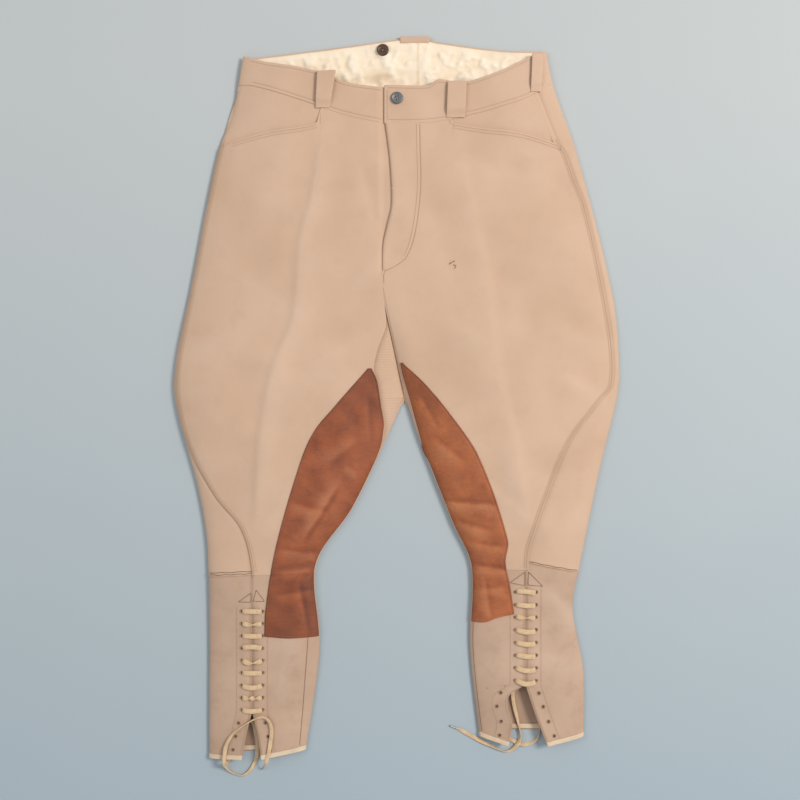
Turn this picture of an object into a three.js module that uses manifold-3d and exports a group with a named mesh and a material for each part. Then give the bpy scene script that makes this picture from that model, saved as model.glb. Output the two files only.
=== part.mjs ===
// Lace-up riding breeches lying on their back, in millimetres.
// +X points to the wearer's left, +Y to the waist and +Z up; the cloth rests on Z = 0.
import * as THREE from 'three';
import { mergeVertices } from 'three/addons/utils/BufferGeometryUtils.js';
import Module from 'manifold-3d';

const wasm = await Module();
wasm.setup();

// Overall sizes. The outlines below are drafted on a block of draftWidth by draftLength
// and are stretched to these.
const overallWidth = 627;
const overallLength = 1024;
const draftWidth = 627;
const draftLength = 1024;

// Cloth, leather and gaps
const clothThickness = 1.8;
const waistbandThickness = 2.6;
const liningThickness = 1;
const facingThickness = 1;
const leatherThickness = 1.6;
const pocketBagThickness = 2.4;
const layerGap = 0.3;
const seamGap = 0.3;
const rimGap = 1;
const stackGap = 0.8;
const leatherLift = 0.95;
const foldGap = 0.3;

// Heights that the front stands above the back
const waistCrown = 16;
const seatCrown = 20;
const kneeCrown = 15;
const hemCrown = 12;

// Folds and seams, along the garment
const hipFoldY = 0;
const rightKneeY = -247;
const leftKneeY = -240;

// Waistband, belt loops and buttons
const backBandHeight = 45;
const liningDepth = 92;
const beltLoopWidth = 25;
const beltLoopThickness = 1.4;
const beltLoopLift = 5.6;
const sideLoopLift = 8;
const buttonDiameter = 17;
const buttonThickness = 3;
const buttonHoleRadius = 1.1;
const shankRadius = 1.5;
const buttonholeRadius = 2.6;
const flyButtonDiameter = 14;
const flyButtonThickness = 2.4;
const flyButtonCount = 4;
const flyButtonPitch = 36;

// Fly
const flyHingeX = 28;
const flyBottomY = 232;

// Pockets
const pocketFacingReach = 25;
const pocketBagDepth = 150;

// Lacing and hems
const laceDiameter = 2.6;
const eyeletRadius = 2.3;
const eyeletInset = 14.5;
const facingWidth = 22;
const slitGap = 0.8;
const hemTapeWidth = 5.6;
const agletRadius = 1.1;
const agletLength = 11;

const acrossScale = overallWidth / draftWidth;
const alongScale = overallLength / draftLength;
const laceRadius = laceDiameter / 2;
const foldY = hipFoldY * alongScale;
const kneeY = { right: rightKneeY * alongScale, left: leftKneeY * alongScale };

const materials = {
  cloth: { color: 0xcdaf94, roughness: 0.9, metalness: 0 },
  calfCloth: { color: 0xc0a088, roughness: 0.9, metalness: 0 },
  lining: { color: 0xfae1c3, roughness: 0.9, metalness: 0 },
  leather: { color: 0x9b5537, roughness: 0.6, metalness: 0 },
  tape: { color: 0xead2b4, roughness: 0.85, metalness: 0 },
  lace: { color: 0xe1c896, roughness: 0.8, metalness: 0 },
  horn: { color: 0x5f4632, roughness: 0.35, metalness: 0 },
  pewter: { color: 0x8c8c8c, roughness: 0.4, metalness: 0.8 },
};

// ---- Curves ----

// A smooth line through the given [position, value] pairs, level past both ends.
function smoothLine(points) {
  const slopes = points.map((point, i) => {
    const before = points[Math.max(i - 1, 0)];
    const after = points[Math.min(i + 1, points.length - 1)];
    return (after[1] - before[1]) / (after[0] - before[0]);
  });
  return (at) => {
    if (at <= points[0][0]) return points[0][1];
    if (at >= points[points.length - 1][0]) return points[points.length - 1][1];
    const i = points.findIndex((point) => point[0] > at) - 1;
    const span = points[i + 1][0] - points[i][0];
    const t = (at - points[i][0]) / span;
    const t2 = t * t;
    const t3 = t2 * t;
    return (2 * t3 - 3 * t2 + 1) * points[i][1] + (t3 - 2 * t2 + t) * span * slopes[i]
      + (3 * t2 - 2 * t3) * points[i + 1][1] + (t3 - t2) * span * slopes[i + 1];
  };
}

// A side edge: across as a function of along. A rim: along as a function of across.
function sideEdge(points) {
  const drafted = smoothLine(points);
  return (y) => drafted(y / alongScale) * acrossScale;
}

function rim(points) {
  const drafted = smoothLine(points);
  return (x) => drafted(x / acrossScale) * alongScale;
}

function smoothStep(low, high, value) {
  const t = THREE.MathUtils.clamp((value - low) / (high - low), 0, 1);
  return t * t * (3 - 2 * t);
}

const lerp = THREE.MathUtils.lerp;

// Outlines of the two legs, from the hem up
const outerEdge = {
  right: sideEdge([[-512, -265], [-220, -267], [-130, -280], [0, -313.5], [60, -311], [150, -292],
    [350, -252], [400, -232], [482, -217]]),
  left: sideEdge([[-492, 263], [-385, 263], [-296, 248], [-240, 257], [-100, 286], [0, 310], [40, 313.5],
    [140, 305], [350, 252], [440, 220], [488, 210]]),
};
const innerEdge = {
  right: sideEdge([[-512, -131], [-350, -109], [-250, -116], [-215, -106], [-155, -63], [-40, -8], [0, 9.5]]),
  left: sideEdge([[-492, 118], [-350, 103], [-235, 104], [-175, 78], [-60, 33], [0, 12.5]]),
};
const crotchX = 11 * acrossScale;

// Waistband rims and seams
const rightBandTop = rim([[-217, 481], [-185, 471], [-132, 462], [-98, 453], [-73, 441], [-20, 434],
  [20, 434]]);
const leftBandTop = rim([[-17, 437], [44, 437], [58, 445], [92, 441], [144, 457], [186, 478], [210, 488]]);
const rightBandSeam = rim([[-223, 443], [-202, 441], [-122, 416], [-73, 399], [-20, 388], [20, 388]]);
const leftBandSeam = rim([[-17, 387], [46, 388], [102, 399], [158, 415], [186, 426], [212, 443]]);
const backBandTop = rim([[-207, 478], [-73, 495], [-3, 505], [25, 508], [60, 501], [144, 490], [205, 488]]);
const centreBack = sideEdge([[0, 11], [200, 22], [400, 29], [512, 29]]);
const centreFront = sideEdge([[0, 11], [60, -2], [125, -16], [160, -22], [400, -22]]);
const flyFreeEdge = sideEdge([[232, -15], [262, -8], [300, -8], [345, -12], [390, -17]]);
const rightPocketMouth = rim([[-254, 349], [-236, 358], [-178, 373], [-135, 379], [-108, 385]]);
const leftPocketMouth = rim([[77, 384], [116, 378], [172, 371], [214, 360], [254, 347]]);
const pocketSeamX = { right: -109 * acrossScale, left: 76 * acrossScale };

// Leather strappings: outer side, with the top and bottom rims
const strappingOuter = {
  right: sideEdge([[-334, -185], [-296, -183], [-211, -169], [-84, -132], [-44, -113], [-14, -88], [41, -40]]),
  left: sideEdge([[-314, 165], [-261, 157], [-229, 151], [-198, 154], [-81, 113], [-23, 74], [48, 16]]),
};
const strappingInner = {
  right: sideEdge([[-90, -31], [-42, -19], [-10, -23], [26, -29], [41, -36]]),
  left: sideEdge([[-60, 44], [-30, 34], [0, 23], [30, 14], [48, 9]]),
};
const strappingTop = { right: 41 * alongScale, left: 48 * alongScale };
const strappingBottom = {
  right: rim([[-186, -333], [-150, -335], [-109, -334]]),
  left: rim([[106, -313], [123, -313], [139, -307], [165, -301]]),
};

// Lacing slits: the seam line, the two free edges and the rows of eyelets
const slits = {
  right: {
    seam: -203, open: -441, count: 9, first: -298, pitch: 17.3, free: [-455, -474, -493],
    outerFree: [[-512, -219], [-470, -211], [-441, -204]],
    innerFree: [[-512, -189.5], [-480, -194], [-441, -202]],
    outerHem: rim([[-265, -505.4], [-219, -505.4]]), innerHem: rim([[-190, -505], [-131, -494]]),
    backHem: rim([[-265, -500], [-131, -494]]),
  },
  left: {
    seam: 180, open: -403, count: 8, first: -271, pitch: 17.7, free: [-413, -432, -453, -473],
    outerFree: [[-492, 213], [-443, 194], [-403, 181]],
    innerFree: [[-492, 155], [-455, 160], [-420, 166], [-403, 179]],
    outerHem: rim([[212, -486], [263, -475]]), innerHem: rim([[118, -475], [155, -486]]),
    backHem: rim([[118, -467], [263, -467]]),
  },
};

// ---- Surface heights ----

const crownAlong = smoothLine([[-512, hemCrown], [-400, hemCrown + 0.5], [-247, kneeCrown], [-80, seatCrown],
  [260, seatCrown], [400, waistCrown], [512, waistCrown]]);
const loopRoom = beltLoopThickness + 2 * layerGap;

// How full the cloth stands across its width: 0 at a fold and 1 over the flat middle.
function fullness(share) {
  const side = Math.min(Math.abs(2 * share - 1), 1);
  return Math.sqrt(1 - side ** 3.2);
}

// The back lies flat on the ground, and its waistband lies on the belt loops behind it.
function backUnder(x, y) {
  return loopRoom * smoothStep(385, 430, y / alongScale);
}

function backTop(x, y) {
  return backUnder(x, y) + clothThickness;
}

// The middle of the front: the seam over the seat, and the gap between the legs below it
function middle(y) {
  return y < foldY ? crotchX : centreFront(y);
}

// The underside of the front, over one leg or over the whole seat
function frontUnder(x, y) {
  const side = x < middle(y) ? 'right' : 'left';
  const outer = outerEdge[side](y);
  const inner = y < foldY ? innerEdge[side](y) : middle(y);
  const overLeg = fullness((x - outer) / (inner - outer));
  const right = outerEdge.right(y);
  const overSeat = fullness((x - right) / (outerEdge.left(y) - right));
  const joined = smoothStep(0, 160, y / alongScale);
  return backTop(x, y) + layerGap + crownAlong(y / alongScale) * lerp(overLeg, overSeat, joined);
}

function frontTop(x, y) {
  return frontUnder(x, y) + clothThickness;
}

// ---- Solids ----

function closed(geometry) {
  const bare = geometry.index ? geometry.toNonIndexed() : geometry.clone();
  bare.deleteAttribute('normal');
  bare.deleteAttribute('uv');
  return mergeVertices(bare, 1e-4);
}

function toSolid(geometry) {
  const merged = closed(geometry);
  return new wasm.Manifold(new wasm.Mesh({
    numProp: 3,
    vertProperties: new Float32Array(merged.attributes.position.array),
    triVerts: new Uint32Array(merged.index.array),
  }));
}

function fromSolid(solid) {
  const mesh = solid.getMesh();
  const geometry = new THREE.BufferGeometry();
  geometry.setAttribute('position', new THREE.BufferAttribute(new Float32Array(mesh.vertProperties), 3));
  geometry.setIndex(new THREE.BufferAttribute(new Uint32Array(mesh.triVerts), 1));
  return geometry;
}

function cut(geometry, tools) {
  return fromSolid(tools.reduce((solid, tool) => solid.subtract(toSolid(tool)), toSolid(geometry)));
}

const evenColumns = (count) => Array.from({ length: count + 1 }, (_, i) => i / count);
const edgeColumns = [0, 0.02, 0.08, 0.2, 0.4, 0.6, 0.8, 0.92, 0.98, 1];
const outerColumns = [0, 0.03, 0.11, 0.27, 0.5, 0.75, 1];
const innerColumns = outerColumns.map((u) => 1 - u).reverse();

// A sheet of cloth: a box bent between two side edges and two rims, lying on a surface.
function sheet({ left, right, bottom, top, under, thickness, columns = edgeColumns, rows = 8 }) {
  const rowShares = Array.isArray(rows) ? rows : evenColumns(rows);
  const geometry = new THREE.BoxGeometry(1, 1, 1, columns.length - 1, rowShares.length - 1, 1);
  const position = geometry.attributes.position;
  const settlePasses = 8;
  for (let i = 0; i < position.count; i += 1) {
    const u = columns[Math.round((position.getX(i) + 0.5) * (columns.length - 1))];
    const v = rowShares[Math.round((position.getY(i) + 0.5) * (rowShares.length - 1))];
    let y = (bottom(0) + top(0)) / 2;
    let x = lerp(left(y), right(y), u);
    for (let pass = 0; pass < settlePasses; pass += 1) {
      y = lerp(bottom(x), top(x), v);
      x = lerp(left(y), right(y), u);
    }
    const rise = position.getZ(i) > 0 ? thickness : 0;
    position.setXYZ(i, x, y, under(x, y, v) + rise);
  }
  return geometry;
}

// An upright prism over an outline of [x, y] corners, used to cut cloth.
function prism(corners) {
  const height = 80;
  const shape = new THREE.Shape(corners.map(([x, y]) => new THREE.Vector2(x, y)));
  return new THREE.ExtrudeGeometry(shape, { depth: height, bevelEnabled: false, steps: 1 })
    .translate(0, 0, -height / 4);
}

function upright(radius, height, sides, x, y, z) {
  return new THREE.CylinderGeometry(radius, radius, height, sides).rotateX(Math.PI / 2)
    .rotateZ(Math.PI / sides).translate(x, y, z + height / 2);
}

const level = (value) => () => value;
const shift = (line, by) => (at) => line(at) + by;

const group = new THREE.Group();

function add(name, geometry, material, place = new THREE.Vector3()) {
  const mesh = new THREE.Mesh(closed(geometry), new THREE.MeshStandardMaterial(materials[material]));
  mesh.name = name;
  mesh.position.copy(place);
  group.add(mesh);
}

// ---- Seat ----

function addBackPanels() {
  const seamHalf = seamGap / 2;
  const seatTop = (x) => backBandTop(x) - backBandHeight - rimGap;
  const flat = { under: backUnder, thickness: clothThickness, columns: evenColumns(6) };
  const seat = { ...flat, bottom: level(foldY + foldGap), top: seatTop, rows: 8 };
  const band = { ...flat, bottom: shift(backBandTop, -backBandHeight), top: backBandTop, rows: 3 };
  const rightHalf = { left: outerEdge.right, right: shift(centreBack, -seamHalf) };
  const leftHalf = { left: shift(centreBack, seamHalf), right: outerEdge.left };
  add('right_back_panel_seat', sheet({ ...seat, ...rightHalf }), 'cloth');
  add('left_back_panel_seat', sheet({ ...seat, ...leftHalf }), 'cloth');
  add('right_back_waistband', sheet({ ...band, ...rightHalf }), 'cloth');
  add('left_back_waistband', sheet({ ...band, ...leftHalf }), 'cloth');
}

// The lining stops short of the side folds, where the front comes down onto the back.
const liningSideInset = 9;
const liningTopInset = 2;

function liningTop(x, y) {
  return backTop(x, y) + layerGap + liningThickness;
}

function addLining() {
  const shared = {
    under: (x, y) => backTop(x, y) + layerGap, thickness: liningThickness, columns: evenColumns(6), rows: 4,
    top: shift(backBandTop, -liningTopInset), bottom: shift(backBandTop, -liningDepth),
  };
  add('right_waistband_lining', sheet({
    ...shared, left: shift(outerEdge.right, liningSideInset), right: shift(centreBack, -seamGap / 2),
  }), 'lining');
  add('left_waistband_lining', sheet({
    ...shared, left: shift(centreBack, seamGap / 2), right: shift(outerEdge.left, -liningSideInset),
  }), 'lining');
}

// The right end of the front waistband tucks under the left end, which buttons over it.
const bandFreeEndX = -17;
const tuckedEndX = 16;
const tuckStart = -27;
const buttonX = 0;
const buttonY = 419 * alongScale;

function rightBandUnder(x, y) {
  const drop = waistbandThickness + layerGap;
  return frontUnder(x, y) - drop * smoothStep(tuckStart, bandFreeEndX - 1, x);
}

function addFrontWaistband() {
  const tuckColumns = [0, 0.03, 0.12, 0.35, 0.6, 0.8, 0.84, 0.86, 0.88, 1];
  const lapColumns = [0, 0.15, 0.28, 0.34, 0.42, 0.6, 0.8, 0.92, 0.98, 1];
  add('right_front_waistband', sheet({
    left: outerEdge.right, right: level(tuckedEndX), bottom: rightBandSeam, top: rightBandTop,
    under: rightBandUnder, thickness: waistbandThickness, columns: tuckColumns, rows: 3,
  }), 'cloth');
  const leftBand = sheet({
    left: level(bandFreeEndX), right: outerEdge.left, bottom: leftBandSeam, top: leftBandTop,
    under: frontUnder, thickness: waistbandThickness, columns: lapColumns, rows: 3,
  });
  const buttonhole = upright(buttonholeRadius, 3 * waistbandThickness, 8, buttonX, buttonY,
    frontUnder(buttonX, buttonY) - waistbandThickness);
  add('left_front_waistband', cut(leftBand, [buttonhole]), 'cloth');
}

// Front panels of the seat, with the pocket mouths and the fly cut out of them
function addFrontPanels() {
  const seatRows = [0, 0.05, 0.12, 0.2, 0.3, 0.4, 0.55, 0.7, 0.85, 1];
  const seatColumns = [0, 0.02, 0.08, 0.2, 0.3, 0.4, 0.5, 0.6, 0.7, 0.8, 0.9, 0.96, 1];
  const sides = { columns: seatColumns, rows: seatRows };
  const far = 400 * Math.max(acrossScale, alongScale);
  const rightPanel = sheet({
    left: outerEdge.right, right: shift(centreFront, -seamGap), bottom: level(foldY + foldGap),
    top: shift(rightBandSeam, -rimGap), under: frontUnder, thickness: clothThickness, ...sides,
  });
  const mouthSteps = 8;
  const mouthY = 350 * alongScale;
  const mouthOverrun = 10;
  const mouth = (curve, from, to) => evenColumns(mouthSteps)
    .map((t) => lerp(from, to, t))
    .map((x) => [x, curve(x)]);
  const rightMouth = mouth(rightPocketMouth, outerEdge.right(mouthY) - mouthOverrun, pocketSeamX.right);
  const aboveRightMouth = [[pocketSeamX.right, 2 * far], [-far, 2 * far], [-far, rightMouth[0][1]]];
  add('right_front_panel_seat', cut(rightPanel, [prism([...rightMouth, ...aboveRightMouth])]), 'cloth');
  const leftPanel = sheet({
    left: centreFront, right: outerEdge.left, bottom: level(foldY + foldGap),
    top: shift(leftBandSeam, -rimGap), under: frontUnder, thickness: clothThickness, ...sides,
  });
  const leftMouth = mouth(leftPocketMouth, pocketSeamX.left, outerEdge.left(mouthY) + mouthOverrun);
  const aboveLeftMouth = [[far, leftMouth[mouthSteps][1]], [far, 2 * far], [pocketSeamX.left, 2 * far]];
  const flyBottom = flyBottomY * alongScale;
  const flySide = flyHingeX + seamGap;
  const flyCut = prism([[-far, flyBottom], [flySide, flyBottom], [flySide, far * 2], [-far, far * 2]]);
  add('left_front_panel_seat', cut(leftPanel, [flyCut, prism([...leftMouth, ...aboveLeftMouth])]), 'cloth');
}

// Pocket facings show above the mouths; the bags hang under them, inside the front.
function facingUnder(x, y) {
  return Math.max(frontUnder(x, y) - 2 * stackGap - clothThickness, backTop(x, y) + layerGap);
}

function addPocket(side, mouth, bandSeam) {
  const sign = side === 'right' ? 1 : -1;
  const sewnWidth = 15;
  const cornerY = 352 * alongScale;
  const cornerRise = 14;
  const fullInset = 20;
  const inset = (y) => fullInset * (1 - smoothStep(cornerY, cornerY + cornerRise, y));
  const outer = (y) => outerEdge[side](y) + sign * inset(y);
  const inner = level(pocketSeamX[side] + sign * sewnWidth);
  const bagInset = 26;
  const bagTopInset = 4;
  const bagOuter = (y) => outerEdge[side](y) + sign * bagInset;
  const bagInner = level(pocketSeamX[side]);
  const span = (a, b) => (side === 'right' ? { left: a, right: b } : { left: b, right: a });
  const columns = side === 'right' ? outerColumns : innerColumns;
  add(`${side}_pocket_facing`, sheet({
    ...span(outer, inner), bottom: shift(mouth, -pocketFacingReach), top: shift(bandSeam, -rimGap),
    under: facingUnder, thickness: clothThickness, columns, rows: 6,
  }), 'cloth');
  const bagUnder = (x, y) => frontUnder(x, y) - 3 * stackGap - clothThickness - pocketBagThickness;
  add(`${side}_pocket_bag`, sheet({
    ...span(bagOuter, bagInner), bottom: shift(mouth, -pocketBagDepth), top: shift(mouth, -bagTopInset),
    under: bagUnder, thickness: pocketBagThickness, columns: evenColumns(4), rows: 5,
  }), 'lining');
}

// ---- Fly ----

function addFly() {
  const flyTop = (x) => Math.min(rightBandSeam(x), leftBandSeam(x)) - seamGap;
  add('fly_flap', sheet({
    left: flyFreeEdge, right: level(flyHingeX), bottom: level(flyBottomY * alongScale + seamGap),
    top: flyTop, under: frontUnder, thickness: clothThickness, columns: evenColumns(3), rows: 6,
  }), 'cloth');
  const room = flyButtonThickness + 2 * layerGap;
  const overlap = 8;
  const extensionEndX = 22;
  const extensionBottomY = 190 * alongScale;
  const dropFrom = -25;
  const dropTo = -15;
  const extensionUnder = (x, y) => frontUnder(x, y) - layerGap - clothThickness
    - room * smoothStep(dropFrom, dropTo, x);
  add('fly_extension', sheet({
    left: shift(centreFront, -overlap), right: level(extensionEndX), bottom: level(extensionBottomY),
    top: flyTop, under: extensionUnder, thickness: clothThickness, columns: [0, 0.15, 0.3, 0.65, 1], rows: 6,
  }), 'cloth');
  const flyButtonX = 3;
  const topButtonY = 363 * alongScale;
  for (let i = 0; i < flyButtonCount; i += 1) {
    const y = topButtonY - i * flyButtonPitch;
    const z = extensionUnder(flyButtonX, y) + clothThickness + layerGap;
    add(`fly_button_${i + 1}`, button(flyButtonDiameter, flyButtonThickness, 2, 0), 'horn',
      new THREE.Vector3(flyButtonX, y, z));
  }
}

// ---- Buttons ----

// A turned button with a raised rim and sewing holes, standing on a thread shank of the given length
function button(diameter, thickness, holes, shank) {
  const r = diameter / 2;
  const rimWidth = diameter * 0.17;
  const dish = thickness * 0.3;
  const profile = [[0, 0], [r * 0.8, 0], [r, thickness * 0.4], [r * 0.97, thickness * 0.8],
    [r - rimWidth / 2, thickness], [r - rimWidth, thickness - dish], [0, thickness - dish]];
  const turned = profile.map(([x, y]) => new THREE.Vector2(x, y));
  const disc = new THREE.LatheGeometry(turned, 20).rotateX(Math.PI / 2);
  const ringRadius = holes === 4 ? 2.6 : 2.1;
  const drills = [];
  for (let i = 0; i < holes; i += 1) {
    const turn = Math.PI / 4 + i * 2 * Math.PI / holes;
    const [x, y] = [ringRadius * Math.cos(turn), ringRadius * Math.sin(turn)];
    drills.push(upright(buttonHoleRadius, 3 * thickness, 6, x, y, -thickness));
  }
  const drilled = drills.reduce((solid, drill) => solid.subtract(toSolid(drill)), toSolid(disc));
  if (shank === 0) return fromSolid(drilled);
  const intoDisc = 0.5;
  return fromSolid(drilled.add(toSolid(upright(shankRadius, shank + intoDisc, 8, 0, 0, -shank))));
}

function addButtons() {
  const lift = 0.6;
  const discZ = frontUnder(buttonX, buttonY) + waistbandThickness + lift;
  const shank = discZ - (rightBandUnder(buttonX, buttonY) + waistbandThickness) - layerGap;
  add('waist_button', button(buttonDiameter, buttonThickness, 4, shank), 'pewter',
    new THREE.Vector3(buttonX, buttonY, discZ));
  const braceX = -20 * acrossScale;
  const braceY = 490 * alongScale;
  add('brace_button', button(buttonDiameter, buttonThickness, 2, 0), 'horn',
    new THREE.Vector3(braceX, braceY, liningTop(braceX, braceY) + layerGap));
}

// ---- Belt loops ----

// A strap sewn at both ends that stands off the waistband between them
function addFrontLoop(name, x, bandTop, bandSeam, { width, lift }) {
  const overhang = 2;
  const riseShare = 0.2;
  const bandSurface = (at, y) => frontUnder(at, y) + waistbandThickness + layerGap;
  add(name, sheet({
    left: level(x - width / 2), right: level(x + width / 2), bottom: shift(bandSeam, overhang),
    top: shift(bandTop, -overhang), thickness: beltLoopThickness,
    under: (at, y, v) => bandSurface(at, y)
      + lift * smoothStep(0, riseShare, v) * (1 - smoothStep(1 - riseShare, 1, v)),
    columns: evenColumns(3), rows: 10,
  }), 'cloth');
}

// A loop pressed flat between the back waistband and the ground
function addBackLoop(name, x, above) {
  const bottomInset = 4;
  add(name, sheet({
    left: level(x - beltLoopWidth / 2), right: level(x + beltLoopWidth / 2),
    bottom: shift(backBandTop, bottomInset - backBandHeight), top: shift(backBandTop, above),
    under: level(0), thickness: beltLoopThickness, columns: evenColumns(1), rows: 1,
  }), 'cloth');
}

function addBeltLoops() {
  const sideLoopWidth = 15;
  const front = { width: beltLoopWidth, lift: beltLoopLift };
  const side = { width: sideLoopWidth, lift: sideLoopLift };
  addFrontLoop('right_front_belt_loop', -101 * acrossScale, rightBandTop, rightBandSeam, front);
  addFrontLoop('left_front_belt_loop', 83 * acrossScale, leftBandTop, leftBandSeam, front);
  addFrontLoop('left_side_belt_loop', 196 * acrossScale, leftBandTop, leftBandSeam, side);
  const sideLoopInset = 3;
  const backTabReach = 4;
  addBackLoop('right_side_belt_loop', -190 * acrossScale, -sideLoopInset);
  addBackLoop('centre_back_belt_loop', 25 * acrossScale, backTabReach);
}

// ---- Legs ----

function legSides(side) {
  if (side === 'right') return { left: outerEdge.right, right: innerEdge.right };
  return { left: innerEdge.left, right: outerEdge.left };
}

function addThigh(side) {
  const shared = { ...legSides(side), bottom: level(kneeY[side] + foldGap), top: level(foldY - foldGap),
    thickness: clothThickness };
  add(`${side}_front_panel_thigh`, sheet({ ...shared, under: frontUnder, rows: 8 }), 'cloth');
  const back = { ...shared, under: backUnder, columns: evenColumns(2), rows: 7 };
  add(`${side}_back_panel_thigh`, sheet(back), 'cloth');
}

function addStrapping(side) {
  const inset = 7;
  const followsBelow = -95;
  const ownSideAbove = -45;
  const sign = side === 'right' ? -1 : 1;
  // Around the crotch the leather has its own inner side; lower down it follows the leg's edge.
  const inner = (y) => lerp(innerEdge[side](y) + sign * inset, strappingInner[side](y),
    smoothStep(followsBelow, ownSideAbove, y / alongScale));
  const outer = strappingOuter[side];
  const span = side === 'right' ? { left: outer, right: inner } : { left: inner, right: outer };
  const under = (x, y) => frontTop(x, y) + leatherLift;
  const columns = side === 'right' ? innerColumns : outerColumns;
  const shared = { ...span, under, thickness: leatherThickness, columns };
  add(`${side}_strapping_top`, sheet({ ...shared, bottom: level(foldY + foldGap),
    top: level(strappingTop[side]), columns: evenColumns(3), rows: 4 }), 'leather');
  add(`${side}_strapping_thigh`, sheet({ ...shared, bottom: level(kneeY[side] + foldGap),
    top: level(foldY - foldGap), rows: 8 }), 'leather');
  add(`${side}_strapping_calf`, sheet({ ...shared, bottom: strappingBottom[side],
    top: level(kneeY[side] - foldGap), rows: 3 }), 'leather');
}

// Rows of eyelets: where the laced ones and the free ones sit on each edge of the slit
function slitEdges(side) {
  const slit = slits[side];
  const outward = side === 'right' ? -1 : 1;
  const seam = slit.seam * acrossScale;
  const free = { outer: sideEdge(slit.outerFree), inner: sideEdge(slit.innerFree) };
  const closedAbove = slit.open * alongScale;
  const edge = (which, sign) => (y) => (y > closedAbove ? seam : free[which](y)) + sign * slitGap / 2;
  return { outer: edge('outer', outward), inner: edge('inner', -outward), outward };
}

function eyeletRows(side) {
  const { count, first, pitch, free } = slits[side];
  const laced = Array.from({ length: count }, (_, i) => first - i * pitch);
  return { laced: laced.map((y) => y * alongScale), free: free.map((y) => y * alongScale) };
}

function addCalf(side) {
  const slit = slits[side];
  const edges = slitEdges(side);
  const { laced, free } = eyeletRows(side);
  const top = level(kneeY[side] - foldGap);
  const out = edges.outward;
  const columns = [0, 0.04, 0.14, 0.35, 0.62, 1];
  const flaps = [
    { part: 'outer', edge: edges.outer, fold: outerEdge[side], hem: slit.outerHem, toward: out },
    { part: 'inner', edge: edges.inner, fold: innerEdge[side], hem: slit.innerHem, toward: -out },
  ];
  for (const { part, edge, fold, hem, toward } of flaps) {
    const foldIsLeft = toward < 0;
    const span = foldIsLeft ? { left: fold, right: edge } : { left: edge, right: fold };
    const spread = foldIsLeft ? columns : columns.map((u) => 1 - u).reverse();
    const eyelets = [...laced, ...free].map((y) => [edge(y) + toward * eyeletInset, y]);
    const reach = 6;
    const pierce = (sides) => eyelets.map(([x, y]) => (
      upright(eyeletRadius, 2 * reach, sides, x, y, frontUnder(x, y) - reach)));
    const panel = sheet({ ...span, bottom: hem, top, under: frontUnder, thickness: clothThickness,
      columns: spread, rows: 10 });
    add(`${side}_calf_${part}_panel`, cut(panel, pierce(6)), 'calfCloth');
    const facingFold = shift(edge, toward * facingWidth);
    const facingSpan = foldIsLeft ? { left: facingFold, right: edge } : { left: edge, right: facingFold };
    const aboveFirst = 10;
    const facing = sheet({ ...facingSpan, bottom: hem, top: level(slit.first * alongScale + aboveFirst),
      under: (x, y) => frontUnder(x, y) - stackGap - facingThickness, thickness: facingThickness,
      columns: evenColumns(1), rows: 8 });
    add(`${side}_${part}_eyelet_facing`, cut(facing, pierce(4)), 'calfCloth');
    const tape = { ...span, bottom: shift(hem, -hemTapeWidth), top: shift(hem, -seamGap), under: frontUnder };
    add(`${side}_${part}_hem_tape`, sheet({ ...tape, thickness: clothThickness, columns: spread, rows: 1 }), 'tape');
  }
  add(`${side}_back_panel_calf`, sheet({ ...legSides(side), bottom: slit.backHem, top, under: backUnder,
    thickness: clothThickness, columns: evenColumns(2), rows: 7 }), 'calfCloth');
}

// ---- Laces ----

// A path that passes through every given point, straight between them
class Route extends THREE.Curve {
  constructor(points) {
    super();
    this.points = points;
  }

  getPoint(t, target = new THREE.Vector3()) {
    const place = Math.min(t * (this.points.length - 1), this.points.length - 1 - 1e-9);
    const i = Math.floor(place);
    return target.lerpVectors(this.points[i], this.points[i + 1], place - i);
  }

  getPointAt(u, target) {
    return this.getPoint(u, target);
  }

  getTangentAt(u, target = new THREE.Vector3()) {
    const last = this.points.length - 1;
    const i = Math.round(u * last);
    const before = this.points[Math.max(i - 1, 0)].clone();
    const here = this.points[i];
    const after = this.points[Math.min(i + 1, last)].clone();
    const inward = here.clone().sub(before).normalize();
    const outward = after.sub(here).normalize();
    return target.addVectors(inward, outward).normalize();
  }
}

function cordSection(radius) {
  const sides = 8;
  const turns = evenColumns(sides).slice(0, sides).map((t) => 2 * Math.PI * (t + 0.5 / sides));
  const corners = turns.map((turn) => new THREE.Vector2(radius * Math.cos(turn), radius * Math.sin(turn)));
  return new THREE.Shape(corners);
}

function cord(path, steps, radius = laceRadius) {
  return new THREE.ExtrudeGeometry(cordSection(radius), { extrudePath: path, steps, bevelEnabled: false });
}

// The lace crosses over the slit from eyelet to eyelet and slants down to the next row underneath.
function addLacing(side) {
  const edges = slitEdges(side);
  const points = [];
  const over = 2 * layerGap + laceRadius;
  for (const y of eyeletRows(side).laced) {
    const from = edges.outer(y) + edges.outward * eyeletInset;
    const to = edges.inner(y) - edges.outward * eyeletInset;
    const below = (x) => frontUnder(x, y) - facingThickness - stackGap - over;
    points.push(new THREE.Vector3(from, y, below(from)));
    for (const t of [0, 0.5, 1]) {
      const x = lerp(from, to, t);
      points.push(new THREE.Vector3(x, y, frontTop(x, y) + over));
    }
    points.push(new THREE.Vector3(to, y, below(to)));
  }
  add(`${side}_lacing`, cord(new Route(points), points.length - 1), 'lace');
}

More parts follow.
